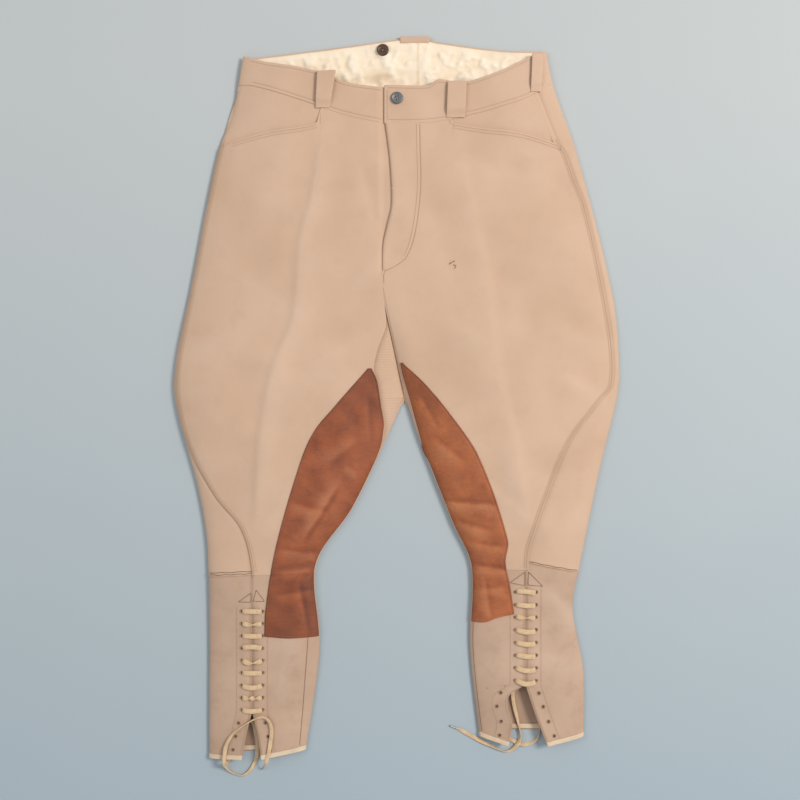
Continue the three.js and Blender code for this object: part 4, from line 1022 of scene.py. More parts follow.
# pockets: a facing under the front panel, and a closed bag below it
def makePocket(side):
    out = outward[side]
    seam = shift(sideSeam[side], out * 0.6)
    within = level(pocketSeam[side] - out * pocket["tuckIn"])
    left, right = (seam, within) if side == "right" else (within, seam)
    x, y = clothGrid(left, right, lambda at: pocketMouth[side](at) - pocket["reach"], lambda at: bandSeam[side](at) + 2,
                     easedColumns(60, False, False), np.linspace(0, 1, 50))
    z = frontHeight(side, x, y) - 0.6 - 1.5 * smoothStep(pocketMouth[side](x) + 14, pocketMouth[side](x) - 2, y)
    facing = finishCloth(side + "_pocket_facing_cloth", finishes["breeches_cloth"], np.stack([x, y, z], axis=2),
                         np.stack([x, y], axis=2), 1.2, [side + "_pocket_facing"])
    ridgeOf(side, facing)
    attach(facing, "seat")
    low, high = (np.array(corner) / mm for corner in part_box(side + "_pocket_bag"))
    u, v = np.meshgrid(np.linspace(0, 1, 40), np.linspace(0, 1, 44))
    across = np.sign(2 * u - 1) * (1 - (1 - np.abs(2 * u - 1)) ** 1.3)
    round_ = np.clip(1 - np.abs(2 * v - 1) ** 8, 0, 1) ** 0.125
    bx = (low[0] + high[0]) / 2 + (high[0] - low[0]) / 2 * 0.98 * across * round_
    by = low[1] + (high[1] - low[1]) * (0.01 + 0.98 * v)
    edge = out * outerEdge[side](by) - 34
    bx = out * np.minimum(out * bx, edge - 0.02 * np.abs(edge - out * bx))
    by = np.minimum(by, pocketMouth[side](bx) - 8 + 0.01 * by)
    bz = (low[2] + high[2]) / 2 + pocket["bagThick"] + 0.3 * np.sin(bx / 9) * np.cos(by / 14)
    bz = np.minimum(bz, frontHeight(side, bx, by) - 4.5)
    bag = finishCloth(side + "_pocket_bag_cotton", finishes["cotton_lining"], np.stack([bx, by, bz], axis=2),
                      np.stack([bx, by], axis=2), 2 * pocket["bagThick"], [side + "_pocket_bag"])
    paintRidge(bag, np.full(len(bag.data.vertices), 0.5))
    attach(bag, "seat")


for side in sides:
    makePocket(side)
print("pockets ready")

# leather knee strappings, an upper and a lower piece on each leg, meeting in the crease of the knee
strapping = {"lift": 1.7, "thick": 1.4, "inset": 1.2, "columns": 70, "upperRows": 190, "lowerRows": 70}
leatherFolds = {
    "right": [((-85, -122), (-132, -196), 4, 11, 1.5), ((-170, -246), (-108, -240), 5, 9, 1.2),
              ((-60, -60), (-100, -90), 5, 12, 0.8), ((-150, -150), (-95, -165), 5, 12, 0.9),
              ((-165, -215), (-110, -222), 4, 9, 0.9), ((-140, -262), (-128, -330), 4, 9, 0.9),
              ((-45, 0), (-40, -60), 4, 9, 0.6), ((-170, -280), (-120, -272), 4, 8, 0.7), ((-75, -95), (-55, -110), 4, 8, 0.7)],
    "left": [((60, -148), (140, -152), 4, 10, 1.3), ((108, -238), (158, -243), 4, 9, 1.3),
             ((75, -175), (130, -190), 5, 11, 1.0), ((50, -60), (90, -92), 5, 12, 0.9), ((100, -205), (150, -212), 4, 9, 0.9),
             ((120, -255), (128, -310), 4, 9, 0.8), ((30, 0), (55, -45), 4, 9, 0.7), ((105, -272), (150, -268), 4, 8, 0.7)],
}


def strapInnerLine(side, y):
    inset = innerEdge[side](y) + outward[side] * strapping["inset"]
    return inset + (strapInner[side](y) - inset) * smoothStep(-95, -45, y)


def leatherRelief(side, x, y):
    # crosswise folds as on the cloth, and a slow puckering h * sin(x / 9 + 2 sin(y / 23)) * sin(y / 11)
    total = 0.28 * np.sin(x / 9 + 2 * np.sin(y / 23)) * np.sin(y / 11 + x / 31)
    for (x0, y0), (x1, y1), near, far, high in leatherFolds[side]:
        long = math.hypot(x1 - x0, y1 - y0)
        ux, uy = (x1 - x0) / long, (y1 - y0) / long
        along = ((x - x0) * ux + (y - y0) * uy) / long
        off = (x - x0) * uy - (y - y0) * ux
        across = high * np.exp(-((off / np.where(off < 0, near, far)) ** 2)) - 0.55 * high * np.exp(-(((off + 1.3 * near) / near) ** 2))
        total = total + across * smoothStep(-0.15, 0.25, along) * smoothStep(1.15, 0.75, along)
    return total


def leatherHeight(side, x, y):
    toEdge = np.minimum(np.abs(x - strapOuter[side](y)), np.abs(x - strapInnerLine(side, y)))
    inside = smoothStep(1, 12, toEdge)
    stitchDip = 0.35 * np.exp(-(((toEdge - 2.4) / 1.1) ** 2))
    return frontHeight(side, x, y) + strapping["lift"] + leatherRelief(side, x, y) * inside - stitchDip


def makeLeather(side, which):
    upper = which == "upper"
    outer = strapOuter[side]
    inner = lambda y: strapInnerLine(side, y)
    left, right = (outer, inner) if side == "right" else (inner, outer)
    knee = kneeY[side]
    bottom, top = (level(knee), level(strapTop[side])) if upper else (strapBottom[side], level(knee + 1.2))
    x, y = clothGrid(left, right, bottom, top, easedColumns(strapping["columns"], True, True),
                     np.linspace(0, 1, strapping["upperRows" if upper else "lowerRows"]))
    z = leatherHeight(side, x, y)
    crease = np.exp(-(((y - knee) / 4.5) ** 2))
    z = z - 0.45 * crease
    grid = np.stack([x, y, z], axis=2)
    nodes = [side + "_strapping_top", side + "_strapping_thigh"] if upper else [side + "_strapping_calf"]
    piece = clothPiece(side + "_strapping_" + which + "_leather", grid, np.stack([x, y], axis=2), strapping["thick"], leathers[side])
    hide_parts(*nodes)
    declareSheet(piece)
    flat = np.empty(len(piece.data.vertices) * 3)
    piece.data.vertices.foreach_get("co", flat)
    px, py = flat.reshape(-1, 3)[:, 0] / mm, flat.reshape(-1, 3)[:, 1] / mm
    toEdge = np.minimum(np.abs(px - outer(py)), np.abs(px - inner(py)))
    # raised folds lighter for rubbing and painted highlight, the grooves beside them darker as painted shade; darker
    # along the edges; painted shade in the knee join; darker towards the top, and on the right leg from just above the
    # knee down
    paint = 0.5 + 0.33 * leatherRelief(side, px, py) - 0.2 * np.exp(-((toEdge / 1.6) ** 2))
    paint = paint - 0.12 * np.exp(-(((py - knee) / 2.5) ** 2)) - 0.22 * smoothStep(-90, 30, py)
    if side == "right":
        paint = paint - 0.26 * smoothStep(knee + 25, knee - 12, py)
    paintRidge(piece, paint)
    moveWithLeg(piece, side, "hip" if upper else "knee")


for side in sides:
    makeLeather(side, "upper")
    makeLeather(side, "lower")
print("leather ready")

# waistbands, their lining, and the belt loops
band = {"thick": 2.3, "rise": 1.0, "backHeight": 45, "liningDepth": 92, "liningInset": 9, "columns": 90, "rows": 34}


def bandSurface(side, x, y):
    # the front's height plus a rise; the right end drops where the left end laps over it; both rims roll down
    rim = np.minimum(np.abs(y - bandSeam[side](x)), np.abs(bandTop[side](x) - y))
    z = frontHeight(side, x, y) + band["rise"] - 0.5 * np.exp(-rim / 1.6) - 0.25 * np.exp(-(((rim - 4.2) / 1.2) ** 2))
    if side == "right":
        z = z - 2.9 * smoothStep(-27, -18, x)
    return z


def makeBand(side):
    ends = {"right": (outerEdge["right"], level(16)), "left": (level(-17), outerEdge["left"])}
    x, y = clothGrid(*ends[side], lambda at: bandSeam[side](at) - 1.5, bandTop[side],
                     easedColumns(band["columns"], True, True), np.linspace(0, 1, band["rows"]))
    piece = finishCloth(side + "_front_band_cloth", finishes["breeches_cloth"],
                        np.stack([x, y, bandSurface(side, x, y)], axis=2), np.stack([x, y], axis=2), band["thick"],
                        [side + "_front_waistband"])
    ridgeOf(side, piece)
    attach(piece, "seat")


def makeBackBand(side):
    meet = lambda y: centreBack(y) + outward[side] * 0.2
    ends = {"right": (outerEdge["right"], meet), "left": (meet, outerEdge["left"])}
    x, y = clothGrid(*ends[side], lambda at: backTopRim(at) - band["backHeight"], backTopRim,
                     easedColumns(60, True, True), np.linspace(0, 1, 30))
    piece = finishCloth(side + "_back_band_cloth", finishes["breeches_cloth"],
                        np.stack([x, y, underHeight(side, x, y)], axis=2), np.stack([x, y], axis=2), band["thick"],
                        [side + "_back_waistband"], flip=True)
    ridgeOf(side, piece)
    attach(piece, "seat")


liningFolds = [((40, 505), (78, 468), 3, 6, 1.5), ((78, 468), (118, 440), 3, 6, 1.1), ((-130, 470), (-60, 452), 3, 7, 0.9),
               ((-60, 488), (-48, 440), 3, 6, 0.8), ((-170, 470), (-110, 486), 3, 6, 0.7), ((100, 486), (150, 462), 3, 7, 0.9),
               ((150, 480), (182, 468), 3, 6, 0.8), ((-20, 470), (20, 462), 3, 6, 0.8), ((-95, 488), (-88, 440), 2.5, 5, 0.7)]


def liningHeight(side, x, y):
    # above the back band, crinkled: a few short folds and the ripples again at a third of the scale
    total = 1.1 * rippled(3.1 * x + 90, 3.1 * y) + 0.8 * rippled(6 * x, 6 * y + 40)
    for (x0, y0), (x1, y1), near, far, high in liningFolds:
        long = math.hypot(x1 - x0, y1 - y0)
        ux, uy = (x1 - x0) / long, (y1 - y0) / long
        along = ((x - x0) * ux + (y - y0) * uy) / long
        off = (x - x0) * uy - (y - y0) * ux
        total = total + high * np.exp(-((off / np.where(off < 0, near, far)) ** 2)) * smoothStep(-0.2, 0.3, along) * smoothStep(1.2, 0.7, along)
    bandHere = smoothStep(backTopRim(x) - 50, backTopRim(x) - 44, y)
    rim = np.minimum(np.minimum(backTopRim(x) - 2 - y, np.abs(x - centreBack(y)) + 1), 14) / 14
    return base(y) + lie["lift"] + 1.9 + 0.8 * bandHere + 1.3 + np.clip(total, -0.7, 2.4) * np.clip(rim, 0.15, 1)


def makeLining(side):
    meet = lambda y: centreBack(y) + outward[side] * 0.15
    inset = shift(outerEdge[side], -outward[side] * band["liningInset"])
    ends = (inset, meet) if side == "right" else (meet, inset)
    x, y = clothGrid(*ends, lambda at: backTopRim(at) - band["liningDepth"], lambda at: backTopRim(at) - 2,
                     easedColumns(130, False, False), np.linspace(0, 1, 70))
    z = liningHeight(side, x, y)
    piece = finishCloth(side + "_lining_cotton", finishes["cotton_lining"], np.stack([x, y, z], axis=2),
                        np.stack([x, y], axis=2), 0.8, [side + "_waistband_lining"])
    flat = np.empty(len(piece.data.vertices) * 3)
    piece.data.vertices.foreach_get("co", flat)
    px, py, pz = flat.reshape(-1, 3).T / mm
    # a real stain at one spot and a darker strip along the top rim; higher crinkles lighter and lower ones darker as
    # painted highlight and shade; painted shade along the centre-back join
    stainAndTopRim = 0.5 * np.exp(-(((px + 22) / 15) ** 2) - (((py - 452) / 10) ** 2)) + 0.25 * np.exp(-(backTopRim(px) - 2 - py) / 2.5)
    paintRidge(piece, 0.5 + 0.16 * (pz - np.median(pz)) - stainAndTopRim - 0.35 * np.exp(-(((px - centreBack(py)) / 2.2) ** 2)))
    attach(piece, "seat")


loops = {
    "right_front": {"x": -101, "width": 25, "lean": 0.10, "taper": 0.78, "lift": 4.4, "side": "right", "over": 3.5},
    "left_front": {"x": 83, "width": 25, "lean": 0.04, "taper": 1.0, "lift": 4.0, "side": "left", "over": 1.5},
    "left_side": {"x": 196, "width": 15, "lean": 0.05, "taper": 0.95, "lift": 3.2, "side": "left", "over": 1.0},
}


def makeLoop(name, loop):
    # a strap up the band: it rises over two short ramps, stands off between them, and folds back down at its top
    u, v = np.meshgrid(np.linspace(-1, 1, 17), np.linspace(0, 1, 60))
    low = bandSeam[loop["side"]](loop["x"]) - 2
    high = bandTop[loop["side"]](loop["x"]) + loop["over"]
    y = low + (high - low) * np.minimum(v / 0.86, 1) - 3.0 * smoothStep(0.86, 1, v)
    width = loop["width"] / 2 * (loop["taper"] + (1 - loop["taper"]) * np.minimum(v / 0.86, 1))
    x = loop["x"] + loop["lean"] * (y - (low + high) / 2) + u * width
    lift = loop["lift"] * smoothStep(0.0, 0.22, v) * smoothStep(1.0, 0.74, v)
    z = bandSurface(loop["side"], x, np.minimum(y, bandTop[loop["side"]](x) - 2)) + 1.5 + lift - 0.35 * np.abs(u) ** 3
    z = z - 1.9 * smoothStep(0.88, 1, v)
    grid = np.stack([x, y + 0.25 * np.sin(2 * u + loop["x"]), z], axis=2)
    piece = finishCloth(name + "_belt_loop_cloth", finishes["breeches_cloth"], grid,
                        np.stack([x, y], axis=2), 1.3, [name + "_belt_loop"])
    paintRidge(piece, 0.5 + 0.25 * (np.tile(0.0, len(piece.data.vertices))))
    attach(piece, "seat")


def makeBackLoop(name, x0, width, nodes, steps):
    # flat under the back band, up round the rim, and down a little way inside
    route = np.array([(-44, 0.05), (-30, 0.0), (-12, 0.0), (-2, 0.0), (1.6, 1.2), (2.2, 3.4), (1.0, 5.6), (-3, 6.3), (-7, 6.2)])
    path = evenSteps(smoothRoute(route[:steps], 160), 1.0)
    u, v = np.meshgrid(np.linspace(-1, 1, 15), np.arange(len(path)))
    x = x0 + u * width / 2
    y = backTopRim(x0) + path[v, 0]
    z = base(500) + lie["lift"] - 0.75 + path[v, 1] * 0.95 + 0.1 * u * u
    uv = np.stack([x, v * 1.0], axis=2)
    piece = finishCloth(name + "_belt_loop_cloth", finishes["breeches_cloth"], np.stack([x, y, z], axis=2), uv,
                        1.2, nodes, flip=True)
    paintRidge(piece, np.full(len(piece.data.vertices), 0.5))
    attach(piece, "seat")


for side in sides:
    makeBand(side)
    makeBackBand(side)
    makeLining(side)
for name, loop in loops.items():
    makeLoop(name, loop)
makeBackLoop("centre_back", 25, 40, ["centre_back_belt_loop"], 9)
makeBackLoop("right_side", -190, 15, ["right_side_belt_loop"], 4)
print("waistband ready")

buttons = {
    "waist": {"centre": (0, 419), "radius": 8.5, "height": 2.6, "holes": 4, "holeOut": 2.1, "rim": 0.75, "finish": "button_metal"},
    "brace": {"centre": (-20, 490), "radius": 8.5, "height": 2.4, "holes": 2, "holeOut": 1.9, "rim": 0.6, "finish": "button_horn"},
}


def makeButton(name, button, foot):
    # a turned button: flat foot, round edge, raised rim, shallow dish, and a pit at each thread hole
    rings, around = 30, 64
    share = np.linspace(0, 1, rings)
    r = button["radius"]
    out = np.concatenate([share * r * 0.93, r * (0.93 + 0.07 * np.sin(np.linspace(0.3, np.pi - 0.3, 9))), (1 - share) * r * 0.93])
    dish = button["rim"] * (smoothStep(0.62, 0.80, share) - smoothStep(0.9, 1.0, share)) * 1.0
    tall = button["height"]
    z = np.concatenate([0 * share, tall / 2 - tall / 2 * 0.95 * np.cos(np.linspace(0.3, np.pi - 0.3, 9)), (tall + dish)[::-1]])
    angle = 2 * np.pi * np.arange(around) / around
    x = out[:, None] * np.cos(angle)[None]
    y = out[:, None] * np.sin(angle)[None]
    z = np.broadcast_to(z[:, None], x.shape).copy()
    top = np.arange(len(out))[:, None] > rings + 4
    for k in range(button["holes"]):
        a = 2 * np.pi * (k + 0.5) / button["holes"] + 0.35
        away = np.hypot(x - button["holeOut"] * math.cos(a), y - button["holeOut"] * math.sin(a))
        z = z - np.where(top, 1.5 * smoothStep(1.15, 0.75, away), 0)
    verts = np.stack([x + button["centre"][0], y + button["centre"][1], z + foot], axis=2)
    uv = np.stack([x, y], axis=2)
    piece = tubeMesh(name + "_button_turned", verts[:, ::-1], uv, finishes[button["finish"]])
    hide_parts(name + "_button")
    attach(piece, name + "_button")
    stitches = []
    for k in range(button["holes"] // 2):
        a = 2 * np.pi * (k + 0.5) / button["holes"] + 0.35
        reach = button["holeOut"] * np.array([math.cos(a), math.sin(a)])
        for off in (-0.3, 0.3):
            sideways = off * np.array([-math.sin(a), math.cos(a)])
            ends = np.array([[*(np.array(button["centre"]) + reach * s + sideways), foot + tall + h]
                             for s, h in ((-1.1, -1.1), (-0.8, 0.1), (0, 0.4), (0.8, 0.1), (1.1, -1.1))])
            stitches.append(stitchRow(ends, 99, float(np.linalg.norm(np.diff(ends, axis=0), axis=1).sum()) * 0.6, 0.3))
    thread = putStitches(name + "_button_thread", stitches, tanThread)
    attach(thread, name + "_button")


makeButton("waist", buttons["waist"], float(bandSurface("left", np.array(2.0), np.array(419.0))) + 0.1)
makeButton("brace", buttons["brace"], float(liningHeight("right", np.array(-20.0), np.array(490.0))) + 0.2)
print("buttons ready")

# calves: an outer panel that wraps round the fold, an inner panel, a back panel, and the slit between the two
calf = {"thick": 1.5, "tuck": 4, "wrap": 6, "gap": 0.5, "flapCurl": 1.6, "pit": 1.5, "eyelet": 2.3, "inset": 14.5}


def lip(side, which, y):
    cut = slit[side]
    offset = calf["gap"] * (outward[side] if which == "outer" else -outward[side])
    return np.where(y > cut["open"], cut["seam"] + offset, cut[which + "Free"](y))


def eyeletPlaces(side, which):
    out = outward[side] if which == "outer" else -outward[side]
    cut = slit[side]
    laced = [(cut["seam"] + out * calf["inset"], y) for y in cut["laced"]]
    free = [(float(lip(side, which, np.array(y))) + out * calf["inset"], y) for y in cut["free"]]
    return laced + free


def calfHeight(side, which, x, y):
    # the front's height; tucked under at the knee, drawn in at the laced lips, curled up along the free flap, pitted at eyelets
    knee = kneeY[side]
    cut = slit[side]
    toLip = np.abs(x - lip(side, which, y))
    seamY = kneeRim[side](x) if which == "outer" else knee
    z = frontHeight(side, x, y) - (1.3 * smoothStep(-8, -1, y - seamY) if which == "outer" else 1.4 * smoothStep(-1.6, -0.2, y - seamY))
    laced = smoothStep(cut["laced"][0] + 22, cut["laced"][0] + 4, y) * smoothStep(cut["open"] - 6, cut["open"] + 4, y)
    z = z - 0.9 * laced * np.exp(-((toLip / 3.5) ** 2)) + 0.7 * laced * np.exp(-(((toLip - 10) / 6) ** 2))
    free = smoothStep(cut["open"], cut["open"] - 24, y)
    z = z + calf["flapCurl"] * free * np.exp(-((toLip / 9) ** 2)) - 0.8 * free * np.exp(-(toLip / 1.5))
    for ex, ey in eyeletPlaces(side, which):
        away = np.hypot(x - ex, y - ey)
        z = z - calf["pit"] * smoothStep(calf["eyelet"] + 0.2, calf["eyelet"] - 0.9, away)
    return z


def makeCalf(side):
    out = outward[side]
    cut = slit[side]
    knee = kneeY[side]
    top = level(knee + calf["tuck"])
    outerTop = lambda x: kneeRim[side](x) + calf["tuck"]
    grid, uv = wrapGrid(side, lambda y: lip(side, "outer", y), shift(outerEdge[side], -out * calf["wrap"]), cut["outerHem"],
                        outerTop, level(float(cut["outerHem"](out * 265))), level(float(outerTop(outerEdge[side](knee)))),
                        (76, 10), 250,
                        lambda x, y: calfHeight(side, "outer", x, y))
    outer = finishCloth(side + "_calf_outer_cloth", finishes["calf_cloth"], grid, uv, calf["thick"],
                        [side + "_calf_outer_panel"], flip=side == "right")
    # painted shade along the slit's lip
    ridgeOf(side, outer, [(lambda y: lip(side, "outer", y), 2, 0.4)], 0.3)
    lipLine = lambda y: lip(side, "inner", y)
    ends = (lipLine, innerEdge[side]) if side == "right" else (innerEdge[side], lipLine)
    x, y = clothGrid(*ends, cut["innerHem"], top, easedColumns(96, side == "left", side == "right"), np.linspace(0, 1, 250))
    inner = finishCloth(side + "_calf_inner_cloth", finishes["calf_cloth"],
                        np.stack([x, y, calfHeight(side, "inner", x, y)], axis=2), np.stack([x, y], axis=2), calf["thick"],
                        [side + "_calf_inner_panel"])
    # painted shade along the slit's lip
    ridgeOf(side, inner, [(lipLine, 2, 0.4)], 0.3)
    foldIn = shift(outerEdge[side], -out * (calf["wrap"] + 0.3))
    ends = (foldIn, shift(innerEdge[side], out * 0.3)) if side == "right" else (shift(innerEdge[side], out * 0.3), foldIn)
    x, y = clothGrid(*ends, cut["backHem"], top, easedColumns(50, True, True), np.linspace(0, 1, 130))
    back = finishCloth(side + "_calf_back_cloth", finishes["calf_cloth"],
                       np.stack([x, y, underHeight(side, x, y)], axis=2), np.stack([x, y], axis=2), calf["thick"],
                       [side + "_back_panel_calf"], flip=True)
    # painted shade: the back panel darker in a wide band under the open slit
    ridgeOf(side, back, [(level(float(cut["seam"])), 24, 0.5)], 0.3)
    for piece in (outer, inner, back):
        moveWithLeg(piece, side, "knee")


def makeFacing(side, which):
    # a second layer under each lip, from the seam to past the eyelets
    cut = slit[side]
    out = outward[side] if which == "outer" else -outward[side]
    near = lambda y: lip(side, which, y) + out * 1.0
    far = lambda y: lip(side, which, y) + out * 22
    ends = (near, far) if out > 0 else (far, near)
    x, y = clothGrid(*ends, lambda at: cut[which + "Hem"](at) + 1.5, level(cut["laced"][0] + 10), easedColumns(16, False, False),
                     np.linspace(0, 1, 150))
    smooth = frontHeight(side, x, y) - calf["thick"] - calf["pit"] - 0.3
    piece = finishCloth(side + "_" + which + "_facing_cloth", finishes["calf_cloth"],
                        np.stack([x, y, smooth], axis=2), np.stack([x, y], axis=2), 0.9, [side + "_" + which + "_eyelet_facing"])
    ridgeOf(side, piece, strength=0.1)
    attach(piece, side + "_calf")


for side in sides:
    makeCalf(side)
    makeFacing(side, "outer")
    makeFacing(side, "inner")
print("calves ready")

tape = {"width": 5.6, "thick": 0.8, "proud": 1.1}


def makeTape(side, which):
    # a narrow binding along the hem of each calf panel, its top face just proud of the cloth
    cut = slit[side]
    hem = cut[which + "Hem"]
    lipEnd = lambda y: lip(side, which, y)
    out = outward[side]
    if which == "outer":
        ends = (outerEdge[side], lipEnd) if side == "right" else (lipEnd, outerEdge[side])
    else:
        ends = (lipEnd, innerEdge[side]) if side == "right" else (innerEdge[side], lipEnd)
    x, y = clothGrid(*ends, lambda at: hem(at) - 0.8, lambda at: hem(at) + tape["width"] - 0.8, easedColumns(44, True, True),
                     np.linspace(0, 1, 9))
    z = calfHeight(side, which, x, np.maximum(y, hem(x))) + tape["proud"]
    piece = finishCloth(side + "_" + which + "_tape_cotton", finishes["hem_tape"], np.stack([x, y, z], axis=2),
                        np.stack([x, y], axis=2), tape["thick"], [side + "_" + which + "_hem_tape"])
    paintRidge(piece, np.full(len(piece.data.vertices), 0.5))
    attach(piece, side + "_calf")


def makeBackTape(side):
    # the same tape on the inside of the back panel, seen through the open hem
    hem = slit[side]["backHem"]
    low, high = sorted((float(outerEdge[side](-480)) - outward[side] * 8, float(innerEdge[side](-480)) + outward[side] * 8))
    x, y = np.meshgrid(np.linspace(low, high, 60), np.linspace(0, 1, 7))
    y = hem(x) + 1.5 + y * tape["width"]
    z = lie["lift"] + calf["thick"] + 1.2 + 0.15 * np.sin(x / 7)
    piece = finishCloth(side + "_back_tape_cotton", finishes["hem_tape"], np.stack([x, y, z], axis=2),
                        np.stack([x, y], axis=2), 0.7, [])
    paintRidge(piece, np.full(len(piece.data.vertices), 0.45))
    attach(piece, side + "_calf")


for side in sides:
    makeTape(side, "outer")
    makeTape(side, "inner")
    makeBackTape(side)
print("tapes ready")

# lacing: each bar is a flat braid between two eyelets, with its own sag, arch and twist
bars = {
    "right": [(0.0, 0.0, 0.0), (1.5, 0.6, 0.5), (0.4, -0.2, 0.0), (-2.2, 1.0, 0.0), (3.6, 0.6, 0.5), (0.2, 0.0, 0.0),
              (3.0, 0.4, 0.0), (0.8, 0.8, 1.0), (1.6, 0.2, 0.0)],
    "left": [(-1.2, 0.4, 0.0), (1.0, 0.4, 0.0), (0.6, 0.2, 0.5), (2.6, 0.6, 0.0), (2.0, 0.5, 0.0), (1.2, 0.4, 0.0),
             (3.4, 0.7, 0.0), (4.4, 0.8, 0.0)],
}
barSlant = {"right": 0.3, "left": 1.3}


def makeLacing(side):
    cut = slit[side]
    across = calf["inset"] - 0.8
    parts, uvs, stretch = [], [], np.linspace(-1, 1, 13)
    for (sag, arch, turns), y0 in zip(bars[side], cut["laced"]):
        x = cut["seam"] + stretch * across
        y = y0 - sag * (1 - stretch**2) - barSlant[side] * stretch
        z = frontHeight(side, x, y) + 1.6 + (0.9 + arch) * (1 - stretch**4) - 3.2 * smoothStep(0.86, 1, np.abs(stretch))
        line, verts, uv = ribbon(np.stack([x, y, z], axis=1), 7.2, 2.0, turns=turns, step=0.9)
        parts.append(verts)
        uvs.append(uv)
    mesh = bpy.data.meshes.new(side + "_lacing_braid")
    allVerts, faces, flat = [], [], []
    start = 0
    for verts, uv in zip(parts, uvs):
        count, around = verts.shape[:2]
        k = np.arange(around)
        first = np.arange(count - 1)[:, None] * around
        after = (k + 1) % around
        tube = np.stack([first + around + k, first + around + after, first + after, first + k], axis=2).reshape(-1, 4) + start
        faces += tube.tolist() + [(k[::-1][::-1] + start).tolist(), ((k + (count - 1) * around)[::-1] + start).tolist()]
        allVerts.append(verts.reshape(-1, 3))
        flat.append(uv.reshape(-1, 2))
        start += count * around
    mesh.from_pydata((np.concatenate(allVerts) * mm).tolist(), [], faces)
    index = np.empty(len(mesh.loops), dtype=np.int32)
    mesh.loops.foreach_get("vertex_index", index)
    mesh.uv_layers.new(name="ClothMap").uv.foreach_set("vector", (np.concatenate(flat)[index] * mm).astype(np.float32).ravel())
    mesh.polygons.foreach_set("use_smooth", np.ones(len(mesh.polygons), bool))
    mesh.materials.append(finishes["lace_cotton"])
    piece = bpy.data.objects.new(side + "_lacing_braid", mesh)
    bpy.context.scene.collection.objects.link(piece)
    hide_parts(side + "_lacing")
    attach(piece, side + "_calf")


def makeEyelets(side):
    # buttonholed eyelets: a ring of short radial stitches round each hole, and dark thread laid in the hole as painted
    # shade
    rows = []
    for which in ("outer", "inner"):
        for ex, ey in eyeletPlaces(side, which):
            angle = 2 * np.pi * np.arange(16) / 16
            near, far = calf["eyelet"] - 0.6, calf["eyelet"] + 1.0
            for a in angle:
                ends = np.array([[ex + near * math.cos(a), ey + near * math.sin(a), 0.0], [ex + far * math.cos(a), ey + far * math.sin(a), 0.0]])
                ends[:, 2] = float(frontHeight(side, np.array(ex), np.array(ey))) + np.array([0.05, 0.2])
                rows.append(stitchRow(ends, 99, 1.55, 0.42))
    piece = putStitches(side + "_eyelet_thread", rows, tanThread)
    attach(piece, side + "_calf")
    # painted shade: dark capsules laid in each eyelet hole
    holes = []
    for which in ("outer", "inner"):
        for ex, ey in eyeletPlaces(side, which):
            ez = float(frontHeight(side, np.array(ex), np.array(ey))) - calf["pit"] + 0.5
            holes += [stitchRow(np.array([(ex - 1.3, ey + off, ez), (ex + 1.3, ey + off, ez)]), 99, 2.6, 0.75) for off in (-0.9, 0, 0.9)]
    piece = putStitches(side + "_eyelet_shade", holes, darkThreadAndShade)
    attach(piece, side + "_calf")


for side in sides:
    makeLacing(side)
    makeEyelets(side)
print("lacing ready")

# sewing, grouped by the part it lies on
sewing = {"pitch": 3.4, "long": 2.3, "radius": 0.32}


def sewnLine(heightAt, xLine, y, lift=0.22):
    return lineOn(heightAt, xLine(y), y, lift)


def sew(line, pitch=None, long=None, radius=None):
    return stitchRow(line, pitch or sewing["pitch"], long or sewing["long"], radius or sewing["radius"])


def flyEdgeOnLeft(y):
    return flySeam(y) - 2.0


def whip(side, y):
    # short stitches over the leather's outer edge, from 2.2 mm inside it to 0.9 mm outside, slanting a little
    ends = []
    for off, dy, lift in ((-2.2, 0.0, 0.2), (0.9, 1.1, -1.0)):
        x = strapOuter[side](y) + outward[side] * off
        ends.append(np.stack([x, y + dy, leatherHeight(side, x, y) + lift], axis=1))
    return capsules(ends[0], ends[1], 0.34)


